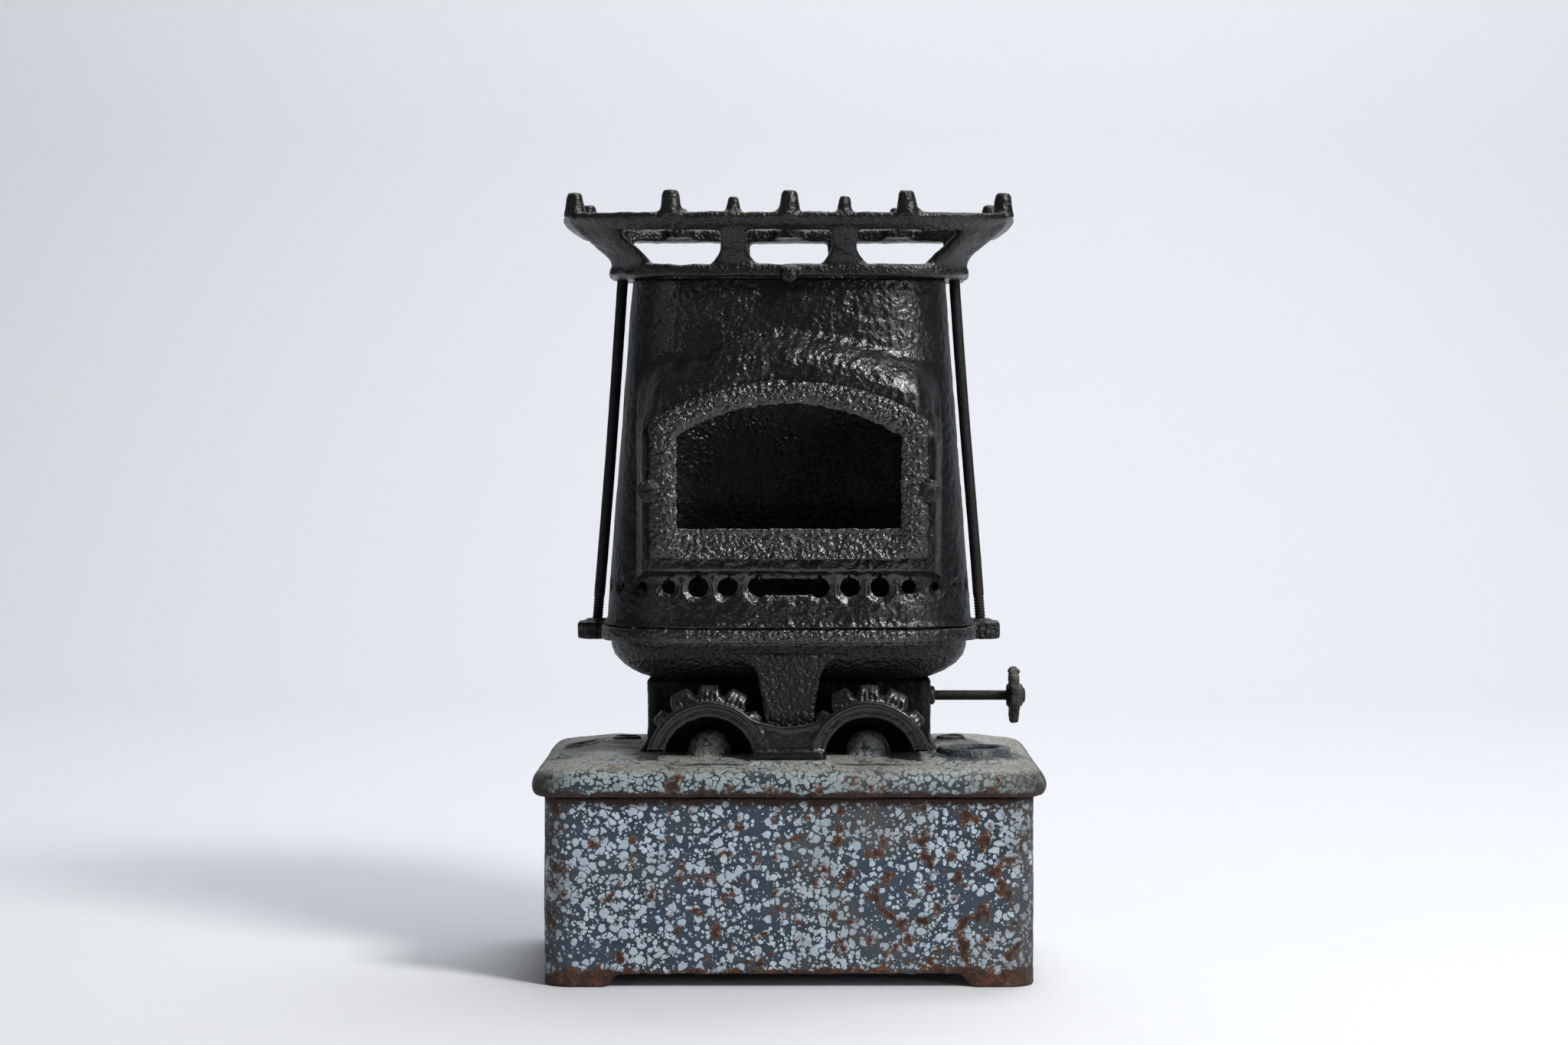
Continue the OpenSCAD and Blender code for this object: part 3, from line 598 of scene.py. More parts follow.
def ironMaterial(name, **changes):
    # black painted cast iron: a pebbled, pitted skin under thick gloss, with a breath of rust and dust;
    # the gloss dies away at the sides and below the chimney's flange by the share called dull
    look = {**ironLook, **changes}
    material, shader = newMaterial(name)
    p, x, _, z, facing = whereabouts()
    pebble = add("TexVoronoi", {"Vector": strayed(p, 2.0, 2.2), "Scale": 1 / look["pebbleSize"],
                                "Smoothness": 0.6}, feature="SMOOTH_F1")
    grain, wave, calm = cloud(p, 0.7, 3.0), cloud(p, look["waveSize"], 4.0, 0.6), cloud(p, 22.0, 2.0)
    height = timesPlus(times(pebble, step(calm, *look["calm"], look["calmKeep"])), look["pebble"])
    height = timesPlus(grain, look["grain"], timesPlus(wave, look["wave"], height))
    connect(shader, "Normal", add("Bump", {"Height": height, "Distance": mm, "Strength": 1.0}))
    black = mix(wave, look["dark"], look["light"])
    browned = mix(line(calm, 0.55, 0.75, 0.0, look["rust"]), black, "#33261f")
    dust = times(line(facing, 0.35, 0.95, 0.0, look["dust"]), line(wave, 0.35, 0.65))
    connect(shader, "Base Color", mix(dust, browned, "#7d7b74"))
    matt = larger(line(sizeOf(x), 48.0, 64.0, 0.0, look["dull"]), line(z, 142.0, 140.6, 0.0, look["dull"]))
    rough = timesPlus(matt, 0.24, line(grain, 0.3, 0.7, look["gloss"] - 0.08, look["gloss"] + 0.1))
    connect(shader, "Roughness", timesPlus(dust, 0.6, rough))
    connect(shader, "Specular IOR Level", line(matt, 0.0, 1.0, look["shine"], 0.12))
    return material


glossIron = ironMaterial(
    "cast iron, gloss black stove paint", pebbleSize=2.4, waveSize=7.0, calm=(0.35, 0.62), calmKeep=0.15,
    pebble=0.6, wave=0.8, dull=0.85, grain=0.1, dark="#040608", light="#0a0e12", dust=0.15,
    gloss=0.27, shine=0.8)
frameIron = ironMaterial(
    "cast iron, pitted gloss black", pebbleSize=1.9, waveSize=5.0, calm=(0.2, 0.5), calmKeep=0.7,
    pebble=0.95, wave=0.6, dull=0.7, grain=0.14, dark="#060709", light="#0f1215", dust=0.15,
    gloss=0.24, shine=1.0)
satinIron = ironMaterial(
    "cast iron, sandy black", pebbleSize=1.5, calm=(0.2, 0.5), calmKeep=0.8, pebble=0.35, wave=0.5,
    grain=0.2, dark="#070808", light="#101112", rust=0.3, gloss=0.33)
darkSteel = ironMaterial(
    "drawn steel, blackened", waveSize=6.0, calmKeep=0.5, pebble=0.2, wave=0.25, dull=0.5,
    dark="#0f1011", light="#1d1c1b", rust=0.5, gloss=0.42)
archIron = ironMaterial(
    "cast iron, brushed stove black", pebbleSize=2.0, pebble=0.12, grain=0.05,
    dark="#050607", light="#0d0f10", dust=0.25, gloss=0.31, shine=0.6)
crustIron = ironMaterial(
    "cast iron, scaled and dusty", pebbleSize=1.4, waveSize=4.0, calm=(0.1, 0.4), calmKeep=0.8, pebble=0.5,
    wave=0.8, grain=0.3, dark="#191817", light="#3d3a37", rust=0.6, dust=0.9, gloss=0.62, shine=0.4)
tarnishedBrass = ironMaterial(
    "turned brass, blackened", waveSize=5.0, pebble=0.15, dark="#1d1a14", light="#3a3022", rust=0.3,
    dust=0.3, gloss=0.42, shine=0.6)


def cottonMaterial():
    # woven cotton wick: cream cords across its width, scorched black towards its top
    material, shader = newMaterial("woven cotton, charred")
    p, _, _, z, _ = whereabouts()
    cords = add("TexWave", {"Vector": p, "Scale": 0.32, "Distortion": 0.6})
    connect(shader, "Base Color", mix(line(z, 118.0, 134.0), mix(cords, "#8f8467", "#b5aa8c"), "#171412"))
    connect(shader, "Normal", add("Bump", {"Height": cords, "Distance": 0.4 * mm}))
    connect(shader, "Roughness", 0.95)
    return material


cotton = cottonMaterial()
print("materials ready")


# tank

tank = {"corner": 12, "wall": 4, "foot": 24, "gap": 5, "slope": 6.5, "columns": 560, "rows": 64}


def buildTank():
    # outline rings from the hollow under the floor, down the skirt, up the wall and into the inside;
    # the skirt's edge rises between the feet by eased steps
    low, high = nodeBox("tank")
    w, d, h = high - low
    outline = roundedOutline(w, d, tank["corner"], tank["columns"])
    x, y = np.abs(outline).T
    alongFront = np.where(y > d / 2 - 0.5, smooth(0, tank["slope"], w / 2 - tank["foot"] - x), 0)
    alongSide = np.where(x > w / 2 - 0.5, smooth(0, tank["slope"], d / 2 - tank["foot"] - y), 0)
    edge = tank["gap"] * np.maximum(alongFront, alongSide)
    edge = edge + np.where(edge > 4, 0.35 * noise(ring(outline, 0), 5.0, 3), 0)
    inset = insetRings(w, d, tank["corner"], 1, 2, tank["columns"])
    wall = tank["wall"]
    profile = [(60, 8), (30, 8), (wall + 0.5, 8), (wall, 7.4), (wall, edge + 0.8), (wall - 0.7, edge),
               (1.4, edge), (0.5, edge + 0.35)]
    profile += [(0, edge + 1.2 + (h - 1.8 - edge) * s) for s in np.linspace(0, 1, tank["rows"])]
    profile += [(0.6, h), (wall - 0.5, h), (wall, h - 1), (wall, 40), (wall, 13), (wall + 2, 12), (30, 12),
                (60, 12)]
    piece = meshObject("enamelled_tank", *surface(np.array([inset(i, z) for i, z in profile])))
    p = readMesh(piece)
    footPush = smooth(14, 3, p[:, 2]) * (0.25 * noise(p, 2.2, 8) - 0.15)
    push = layered(p, [(30, 0.22, 5), (9, 0.12, 6), (3.2, 0.06, 7)]) - 0.35 + footPush
    writeMesh(piece, pushed(piece, push * smooth(0, 2, p[:, 2])))
    return piece


place(buildTank(), "stove", tankEnamel, "enamelled_iron", "tank")


# tank lid

lid = {"corner": 14, "lip": 12.5, "crown": 3, "columns": 660, "step": 1.15, "padX": 16.3,
       "filler": (78, -45), "leftNeck": (-71, 14), "rightNeck": (71, 14), "rustHole": (-90, 14),
       "plateaus": ((-94, -36, 8.5, 1.9), (98, -29, 6.5, 1.4)), "domeX": 33.5, "domeR": 9.5}


def lidHeight(x, y, inset):
    # crowned plate with a bracket pad, two oval plateaus, four ridge rings and two domes blended into it:
    # an eased rise inwards, cones cut off flat, bells round each ring, and half spheres with steep skirts
    lipTop = nodeBox("tank")[1][2] + lid["lip"]
    z = lipTop + lid["crown"] * smooth(5, 31, inset)
    padFront = nodeBox("front_bracket")[0][1] - 8
    padOut = np.maximum(np.abs(x) - lid["padX"], np.maximum(padFront - y, y + 46))
    z = softMax(z, lipTop + 2.2 - 1.3 * np.maximum(padOut, 0), 0.8)
    for cx, cy, r, top in lid["plateaus"]:
        away = np.hypot((x - cx), (y - cy) * 1.15) - r
        z = softMax(z, lipTop + top - 0.9 * np.maximum(away, 0), 0.9)
    for hole, r, rise, wide in (("filler", 17.4, 1.2, 3.0), ("leftNeck", 7.6, 1.6, 3.4),
                                ("rightNeck", 7.6, 1.4, 3.4), ("rustHole", 7.2, 1.5, 1.5)):
        cx, cy = lid[hole]
        z = z + rise * np.exp(-((np.hypot(x - cx, y - cy) - r) / wide) ** 2)
    for side in sides:
        r = lid["domeR"]
        away = np.sqrt((x - side * lid["domeX"]) ** 2 + (y + 44.5) ** 2)
        ball = np.sqrt(np.maximum(r ** 2 - away ** 2, 0))
        z = softMax(z, lipTop + lid["crown"] + 0.9 + ball - 5.0 * np.maximum(away - r, 0), 1.2)
    return z


def neck(at, rOut, rBase, rIn, zLow, zTop, seed):
    # raised neck: a flared profile turned round its bore, its rim worn uneven by noise
    profile = [(rBase, zLow), (rOut + 1.2, zLow + 2.2), (rOut, zLow + 4.5), (rOut - 0.1, zTop - 1.1),
               (rOut - 0.7, zTop - 0.2), (rOut - 1.8, zTop), (rIn + 1.2, zTop - 0.1), (rIn + 0.3, zTop - 0.7),
               (rIn, zTop - 1.6), (rIn, zLow - 3), (rBase - 1, zLow - 3)]
    r, z = np.array(profile, float).T[..., None]
    rings = turned(r, z, 72) + np.array([*at, 0])
    rings[..., 2] += 0.3 * noise(rings, 3.5, seed)
    rings[..., :2] += 0.25 * noisePair(rings, 4, seed + 1)
    return surface(rings, loop=True)


def buildLid():
    # outline rings: pocket underneath, round lip of two quarter ovals, then the crowned top inwards
    low, high = nodeBox("tank_lid")
    w, d = (high - low)[:2]
    base = low[2]
    inset = insetRings(w, d, lid["corner"], 0.6, 1.2, lid["columns"])
    profile = [(70, 10.5), (40, 10.5), (10.5, 10.5), (10, 10), (10, 0.4), (9.6, 0), (3.4, 0)]
    rings = [inset(i, base + z) for i, z in profile]
    for a in np.linspace(0.15, np.pi / 2, 7):
        rings.append(inset(2.8 - 2.8 * np.sin(a), base + 4.6 - 4.6 * np.cos(a)))
    for a in np.linspace(0.12, np.pi / 2, 13):
        rings.append(inset(8.5 - 8.5 * np.cos(a), base + 4.6 + 7.9 * np.sin(a)))
    for i in np.arange(8.5 + lid["step"], d / 2 - 0.6, lid["step"]):
        r = inset(i, 0)
        r[:, 2] = lidHeight(r[:, 0], r[:, 1], i)
        rings.append(r)
    piece = meshObject("enamelled_tank_lid", *surface(np.array(rings)))
    roughen(piece, (28, 0.3, 11), (8, 0.22, 12), (2.6, 0.1, 13))
    bores = [moved(rod(r, base - 5, base + 30, 40), *lid[hole], 0)
             for hole, r in (("filler", 12.4), ("leftNeck", 5.0), ("rightNeck", 5.0), ("rustHole", 6.0))]
    eaten = bores[3][0]
    eaten[:, :2] += 0.9 * noisePair(eaten, 4, 21)
    cutAway(piece, bores)
    return withShells(piece, neck(lid["filler"], 15.6, 18.6, 10.25, base + 10.8, base + 18.5, 31),
                      neck(lid["leftNeck"], 6.6, 8.4, 3.8, base + 11.5, base + 18.0, 34),
                      neck(lid["rightNeck"], 6.6, 8.6, 3.8, base + 11.5, base + 18.0, 37))


place(buildLid(), "stove", lidEnamel, "enamelled_iron", "tank_lid")


# outlines shared by the casing and its window frame

def archOutline(half, foot, spring, rise, counts, rounds):
    # window outline of (x, z) points: sill, right side, round head, left side, each with its own count,
    # so that two of these match point by point; rounds of averaging soften its corners
    radius = (half ** 2 + rise ** 2) / (2 * rise)
    sweep = math.asin(half / radius)
    sillCount, sideCount, headCount = counts
    across = np.linspace(-half, half, sillCount, endpoint=False)
    up, down = [np.linspace(a, b, sideCount, endpoint=False) for a, b in ((foot, spring), (spring, foot))]
    a = np.linspace(sweep, -sweep, headCount, endpoint=False)
    outline = np.vstack([
        np.column_stack([across, np.full(sillCount, foot)]), np.column_stack([np.full(sideCount, half), up]),
        np.column_stack([radius * np.sin(a), spring + rise - radius + radius * np.cos(a)]),
        np.column_stack([np.full(sideCount, -half), down])])
    for _ in range(rounds):
        outline = 0.5 * outline + 0.25 * (np.roll(outline, 1, 0) + np.roll(outline, -1, 0))
    return outline


def archReach(x, z, half, foot, spring, rise):
    # distance outside the same outline, negative inside
    radius = (half ** 2 + rise ** 2) / (2 * rise)
    head = np.hypot(x, z - (spring + rise - radius)) - radius
    return np.maximum(np.maximum(np.abs(x) - half, foot - z), -9 + (head + 9) * smooth(spring - 14, spring, z))


# casing

casing = {"power": 4.0, "low": 148.0, "top": 295.0, "half": (78.5, 62.0), "taper": 0.857, "wall": 3.0,
          "front": 400, "back": 130, "rows": 146, "hoodY": -63.0, "hood": (62.3, 171.0, 237.6, 22.2),
          "opening": (47.5, 189.0, 228.6, 14.4), "ventZ": 165.5, "vents": 38, "ventD": 8.6,
          "slotHalf": 3.3}


def casingHalf(z):
    # half width and half depth of the tapered shell at a height
    k = 1 - (1 - casing["taper"]) * (z - casing["low"]) / (casing["top"] - casing["low"])
    return k * casing["half"][0], k * casing["half"][1]


def casingRing(z, inset):
    # one level of the tapered superellipse, its front half cut finer than its back
    a, b = casingHalf(z)
    fine = ovalOutline(a - inset, b - inset, casing["power"], 2400)
    n, m = casing["front"] // 2, casing["back"]
    spans = ((0, 600, n), (600, 1800, m), (1800, 2400, n))
    pick = np.concatenate([np.linspace(start, end, count, endpoint=False) for start, end, count in spans])
    return ring(fine[pick.astype(int)], z)


def buildCasing():
    # rings up the outside and down the inside; the front is the fillet between the shell and a hood round
    # the window, which is flat at the frame, falls off steeply at its sides and rolls over at its head
    low, top, rows, wall = casing["low"], casing["top"], casing["rows"], casing["wall"]
    profile = [(low, 1.2)] + [(z, 0) for z in np.linspace(low + 0.4, top - 0.3, rows)] + [(top, 0.8)]
    profile += [(top, wall - 0.6)] + [(z, wall) for z in np.linspace(top - 0.3, low + 0.3, 22)]
    profile += [(low, wall - 0.6)]
    rings = np.array([casingRing(z, inset) for z, inset in profile])
    outer = rings[1:1 + rows]
    x, y, z = outer[..., 0], outer[..., 1], outer[..., 2]
    reach = archReach(x, z, *casing["hood"])
    head = smooth(-10, 2, z - casing["hood"][2])
    roll = 0.042 * np.maximum(reach + 3, 0) ** 2 + 0.12 * np.maximum(np.abs(x) - 52, 0) ** 2
    edge = 3.2 * np.maximum(reach + 1, 0)
    swell = -casing["hoodY"] - (1 - head) * edge - head * roll - 20 * np.maximum(np.abs(x) - 64, 0)
    blend = 1.6 + 1.8 * head + 3.5 * smooth(52, 64, np.abs(x))
    outer[..., 1] = np.where(y < 0, -softMax(-y, swell, blend), y)
    shelf = smooth(150.6, 149.4, z) * 0.9
    outer[..., :2] *= (1 + shelf / 70)[..., None]
    piece = meshObject("iron_casing", *surface(rings, loop=True))

    # skin: wrinkled ridges and pits, harsher to the right, round the hood and in the lowest band
    p = readMesh(piece)
    skin = np.ones(len(p))
    skin[(1 + rows) * rings.shape[1]:] = 0.5
    near = smooth(14, -2, archReach(p[:, 0], p[:, 2], *casing["hood"])) * (p[:, 1] < 0)
    harsh = 0.14 + 0.42 * smooth(-60, 50, p[:, 0]) + 0.32 * near + 0.35 * smooth(176, 166, p[:, 2])
    wrinkle = 1 - np.abs(layered(p, [(6.0, 1, 41), (3.1, 0.45, 42)]))
    pits = 0.42 * (wrinkle - 0.6) + 0.26 * noise(p, 2.3, 44) + 0.1 * noise(p, 1.3, 45)
    push = 0.3 * noise(p, 16, 43) + np.clip(harsh, 0, 1) * pits

    # air holes, each a little ragged in a shallow dish; the middle ones of the front are one slot
    ventZ, vents, slotHalf = casing["ventZ"], casing["vents"], casing["slotHalf"]
    a, b = casingHalf(ventZ)
    span = 2 * math.pi * (a + b) / 2 / vents + 3.5
    toSlot = np.maximum(np.abs(p[:, 0]) - span, np.abs(p[:, 2] - ventZ) - slotHalf)
    dish = smooth(2.8, -0.5, toSlot) * (p[:, 1] < 0)
    shells = []
    for i, (x, y) in enumerate(even(ovalOutline(a, b, casing["power"], 1900), vents)):
        rank = min(i, vents - i)
        if rank == 0:
            continue
        r = 0.5 * (casing["ventD"] if rank < 4 else max(casing["ventD"] - 2.2 * (rank - 3), 2.6))
        outward = Vector((signedPower(x / a, 3) / a, signedPower(y / b, 3) / b, 0)).normalized()
        away = np.sqrt((p[:, 0] - x) ** 2 + (p[:, 1] - y) ** 2 + (p[:, 2] - ventZ) ** 2)
        dish = np.maximum(dish, smooth(r + 2.8, r - 0.5, away))
        hole = lathe([(0.1, -7), (r * 0.9, -7), (r, 1.5), (0.1, 1.5)], 32)
        hole[0][:, :2] *= 1 + 0.11 * noise(hole[0] * np.array([1, 1, 0.2]) + 13 * i, 2.8, 50)[:, None]
        shells.append(aimed(hole, outward, (x, y, ventZ)))
    writeMesh(piece, pushed(piece, (push - 0.25 - 1.7 * dish) * skin))
    t = angles(120)
    x, z = signedPower(np.cos(t), 0.45) * span, ventZ + signedPower(np.sin(t), 0.7) * slotHalf
    slot = np.column_stack([x, z])
    slot[:, 1] += 0.5 * noise(ring(slot, 0), 2.6, 61)
    shells.append(slab(archOutline(*casing["opening"], (90, 36, 90), 4), -80, -30))
    return cutAway(cutAway(piece, shells), [slab(slot, -70, -48)])


place(buildCasing(), "chimney", glossIron, "black_iron", "chimney_casing")


# window frame

frameShape = {"outer": (58.3, 177.5, 235.6, 16.4), "inner": (46.5, 190.0, 228.6, 13.4),
              "counts": (190, 96, 190), "front": -66.0, "back": -63.0, "screwX": 58.3, "screwZ": 206}


def buildFrame():
    # rings from the frame's outer edge over its face, rounded by a power curve, to the sight edge and
    # back; the sill slopes in by a parabola
    s = frameShape
    outer, inner = archOutline(*s["outer"], s["counts"], 12), archOutline(*s["inner"], s["counts"], 4)
    front, back = s["front"], s["back"]
    profile = [(0.0, back), (0.0, front + 2.1), (0.03, front + 1.5)]
    profile += [(t, front + 0.15 + 1.35 * abs(2 * t - 1.05) ** 2.6) for t in np.linspace(0.08, 0.95, 15)]
    profile += [(0.985, front + 1.5), (1.0, front + 1.9), (1.0, back)]
    rings = []
    for t, y in profile:
        x, z = (outer * (1 - t) + inner * t).T
        sill = smooth(192, 188, z) * smooth(50, 44, np.abs(x)) * (y < back)
        slope = front + 0.1 + 2.3 * (1 - (1 - t) ** 2)
        rings.append(np.column_stack([x, (1 - sill) * y + sill * slope, z]))
    piece = meshObject("iron_window_frame", *surface(np.array(rings)[::-1], loop=True))
    p = readMesh(piece)
    grain = layered(p, [(2.2, 0.36, 71), (1.3, 0.24, 72), (9, 0.25, 73)])
    writeMesh(piece, pushed(piece, (grain - 0.15) * smooth(back, back - 1, p[:, 1])))
    ears = []
    for side in sides:
        ear = lathe([(0.1, -0.2), (4.9, 0), (5.0, 2.2), (4.4, 2.8), (0.1, 3.0)], 40, 0.05, 74 + side)
        ears.append(aimed(ear, towardsFront, (side * s["screwX"], back, s["screwZ"])))
    return withShells(piece, *ears)


def buildWindowScrews():
    shells, slots = [], []
    profile = [(0.1, 0), (3.2, 0), (3.5, 0.3), (3.4, 0.9), (2.9, 1.4), (2.0, 1.7), (0.1, 1.8)]
    for side, turn, seed in ((-1, 0.12, 81), (1, 1.1, 82)):
        x, z = side * frameShape["screwX"], frameShape["screwZ"]
        shells += [aimed(shell, towardsFront, (x, frameShape["front"], z))
                   for shell in (lathe(profile, 72, 0.06, seed), rod(1.7, -9, 0.2, 24))]
        slots.append(slab(slotBar(turn, x, z), -70, -66.9))
    return cutAway(meshObject("steel_window_screws", *joined(*shells)), slots)


place(buildFrame(), "chimney", frameIron, "black_iron", "window_frame")
place(buildWindowScrews(), "chimney", darkSteel, "dark_steel", "window_screws")


# chimney base; the wicks' place also sets its slots

wicks = {"x": 29.5, "half": (25, 1.5), "low": 28.0, "top": 135.5}
base = {"columns": 520, "half": (78.5, 62.0), "bowlZ": 125.3, "flangeZ": 142.0, "top": 148.0, "over": -2.0,
        "wall": 3.5, "levels": [(0, 17), (1, 13.5), (3.2, 9), (6.2, 4.8), (9.7, 1.8), (13.2, 0.5), (16.7, 0)]}


def buildBase():
    # bowl and flange swept round the superellipse, then the ears, pad and legs melted together
    a, b = base["half"]
    bowlZ, wall, over, flange, top = [base[key] for key in ("bowlZ", "wall", "over", "flangeZ", "top")]
    levels = np.array(base["levels"], float).T
    bowl = [(np.interp(s, *levels) + 1.9, bowlZ + s) for s in np.linspace(0, 16.4, 26)]
    profile = [(45, bowlZ), (25, bowlZ)] + bowl
    profile += [(1.8, flange), (0.3, flange), (over + 0.3, flange + 0.05), (over, flange + 0.5),
                (over - 0.2, flange + 2.2), (over, flange + 4), (over + 0.1, top - 0.9),
                (over + 0.7, top - 0.2), (-0.6, top), (2.4, top), (3.5, top - 0.6), (3.6, flange),
                (3.7, flange - 3)]
    profile += [(i + wall, z + wall) for i, z in bowl[::-3] if z + wall < flange - 3.2]
    profile += [(30, bowlZ + wall), (50, bowlZ + wall)]
    rings = np.array([ring(ovalOutline(a - i, b - i, 4, base["columns"]), z) for i, z in profile])
    piece = meshObject("iron_chimney_base", *surface(rings))
    push = layered(readMesh(piece), [(14, 0.3, 91), (3.2, 0.16, 92), (1.6, 0.1, 93)])
    writeMesh(piece, pushed(piece, push - 0.2))
    cutAway(piece, [prism(roundedOutline(56.2, 20, 3, 80) + np.array([side * wicks["x"], 0]), 118, 134.5)
                    for side in sides])

    # front leg, ears with their bosses, pad, hinge leg
    flare = [(13 + 15 * (1 - math.cos(t)), bowlZ + 12.5 * math.sin(t)) for t in np.linspace(0, np.pi / 2, 16)]
    right = [(10, 105.5), (10.3, 108), (11, 115), (12, 121)] + flare
    shells = [slab(np.array(right + [(-x, z) for x, z in right[::-1]]), -60, -51.2)]
    for s in sides:
        ear = [(60, -11.5), (84, -11.8), (89.5, -10.5), (91.4, -8), (91.6, 8), (89.5, 10.8), (84, 11.8),
               (60, 11.5)]
        ear = even(np.array([(s * x, y) for x, y in ear])[::s], 60)
        levels = ((0.995, 140.6), (1, 141.4), (1, 147.3), (0.995, 148.2))
        shells.append(surface(np.array([ring(ear * size, z) for size, z in levels])))
        boss = lathe([(0.1, 146), (6.4, 146), (6.2, 148.3), (5.2, 149.4), (0.1, 149.6)], 40, 0.04, 95)
        shells.append(moved(boss, s * 82.6, 0, 0))
    shells.append(stacked(roundedOutline(21.5, 5, 1.2, 40) + np.array([0, -63]), 142.8, 147.2))
    knuckle = lathe([(0.1, -6.8), (5.9, -6.8), (6.0, -6.2), (6.0, 6.2), (5.9, 6.8), (0.1, 6.8)], 40)
    shells.append(aimed(knuckle, towardsRight, pinAxis))
    arm = [(60.5, 108), (62, 103), (70, 103.5), (71.8, 108), (70, 122), (64, 130), (58, 141.5), (44, 137),
           (50, 130), (58, 127), (61, 120)]
    shells.append(sideSlab(arm, -6.8, 6.8))
    parts = cast(meshObject("legs", *joined(*shells)), 0.62, 7)
    roughen(parts, (9, 0.2, 96), (2.2, 0.16, 97), (1.1, 0.09, 98))
    bores = [aimed(rod(2.6, -9, 9), towardsRight, pinAxis)]
    bores += [aimed(rod(2.45, -2, 20), (-s * 0.076, 0, 0.997), (s * 83.1, 0, 135)) for s in sides]
    return takeIn(piece, cutAway(parts, bores))


place(buildBase(), "chimney", frameIron, "black_iron", "chimney_base")


# front bracket

bracket = {"archX": 33.5, "archZ": 92.0, "outer": 26.0, "front": -66.0, "plate": 4.5, "openR": 18.7,
           "lean": 101, "foot": 93.7, "lobes": (-48, -24, 0, 24, 48)}


def tubeAlong(path, r, count=10):
    # round bar along a path of points, closed at both ends
    ahead = headings(path)
    across = np.cross(ahead, np.array([0, 1, 0.001]))
    across /= np.linalg.norm(across, axis=1)[:, None]
    up = np.cross(across, ahead)
    t = angles(count)[None, :, None]
    return surface(path[:, None] + r * (across[:, None] * np.cos(t) + up[:, None] * np.sin(t)))


def arcBand(r0, r1, lean, y0, y1, cx, cz):
    # part of a round vault between two radii, leaning to both sides from straight up
    a = np.linspace(-lean, lean, 48)
    arcs = [np.column_stack([cx + r * np.sin(t), cz + r * np.cos(t)]) for r, t in ((r1, a), (r0, a[::-1]))]
    return slab(np.vstack(arcs), y0, y1)


def lobeShell(angle, cx, cz):
    # knuckle standing on the vault: a grooved, round-cornered block that narrows towards its top
    tall, wide = (5.6, 5.7) if abs(angle) < 30 else (3.0, 4.2)
    rings = []
    for u in np.linspace(0, 1, 9):
        w, depth = wide * (1 - 0.36 * u ** 3.5), 7.6 * (1 - 0.4 * u ** 3)
        o = even(np.array([(-w, -depth), (w, -depth), (w, depth), (-w, depth)]), 48)
        o = 0.6 * o + 0.2 * (np.roll(o, 2, 0) + np.roll(o, -2, 0))
        groove = 1 - 0.13 * smooth(0.1, 0.6, np.cos(o[:, 0] * 3.0)) * (o[:, 1] < 0)
        rings.append(np.column_stack([o[:, 0], o[:, 1] * groove, np.full(48, 20.5 + (5.5 + tall) * u)]))
    v, f = surface(np.array(rings))
    c, s = math.cos(math.radians(angle)), math.sin(math.radians(angle))
    return np.column_stack([cx + v[:, 0] * c + v[:, 2] * s, -54 + v[:, 1], cz - v[:, 0] * s + v[:, 2] * c]), f


def buildBracket():
    # two arches that meet in a saddle over the foot, a bead round their rim, vaults and lobes behind
    s = bracket
    shells = []
    front, back = s["front"], s["front"] + s["plate"]
    lean, middleZ, beadR = math.radians(s["lean"]), s["archZ"] + 0.2, s["outer"] - 1.2
    for side in sides:
        cx = side * s["archX"]
        shells.append(arcBand(s["openR"] + 0.4, s["outer"] - 0.6, lean, front + 1.3, back, cx, middleZ))
        shells.append(arcBand(s["openR"] + 0.6, s["outer"] - 1.4, lean * 0.92, back - 1, -34.4, cx, middleZ))
        a = np.linspace(-lean, lean, 70)
        shells.append(tubeAlong(np.column_stack([cx + beadR * np.sin(a), np.full(70, front + 1.6),
                                                 middleZ + beadR * np.cos(a)]), 1.5))
        shells += [lobeShell(angle, cx, s["archZ"] + 0.4) for angle in s["lobes"]]
    top = [(15.5 * (1 - 2 * u), 106.9 + 3.6 * (abs(1 - 2 * u)) ** 2) for u in np.linspace(0, 1, 14)]
    saddle = [(-16, 93.6), (16, 93.6), (15.4, 97), (15.6, 100), (17.5, 106)] + top
    shells.append(slab(saddle + [(-17.5, 106), (-15.6, 100), (-15.4, 97)], front + 1.3, back))
    x = np.linspace(-17.2, 17.2, 30)
    dip = np.column_stack([x, np.full(30, front + 1.6), 106.5 + 3.4 * (x / 15.5) ** 2])
    shells.append(tubeAlong(dip, 1.45))
    foot = roundedOutline(30.5, 17.5, 2.0, 60) + np.array([0, -57.6])
    bevel = foot * 0.97 - np.array([0, 1.7])
    shells.append(surface(np.array([ring(foot, s["foot"]), ring(foot, 96.6), ring(bevel, 97.4)])))
    shells.append(stacked(roundedOutline(27, 16, 2, 60) + np.array([0, -57.4]), 95, 105.2))
    piece = cast(meshObject("iron_arch_bracket", *joined(*shells)), 0.6, 4)
    p = readMesh(piece)
    face = smooth(-63.5, -65.5, p[:, 1])
    push = (1 - 0.75 * face) * layered(p, [(2.6, 0.22, 101), (1.2, 0.12, 102)]) + 0.2 * noise(p, 10, 103)
    verts = pushed(piece, push - 0.08)
    verts[:, 2] = np.maximum(verts[:, 2], s["foot"] + 4.2 * smooth(50.5, 53, np.abs(verts[:, 0])))
    writeMesh(piece, verts)
    return piece


place(buildBracket(), "stove", archIron, "black_iron", "front_bracket")


# trivet

trivet = {"rimHalf": (96.5, 75.0), "rimPower": 4.5, "rimLow": 314.0, "rimTop": 322.0, "rimWide": 12.0,
          "collarHalf": (77.2, 61.1), "collarIn": (61.3, 47.1), "collarLow": 295.0, "collarTop": 301.0,
          "midX": 23.0, "pegX": 49.0, "padX": 71, "voxel": 0.85}


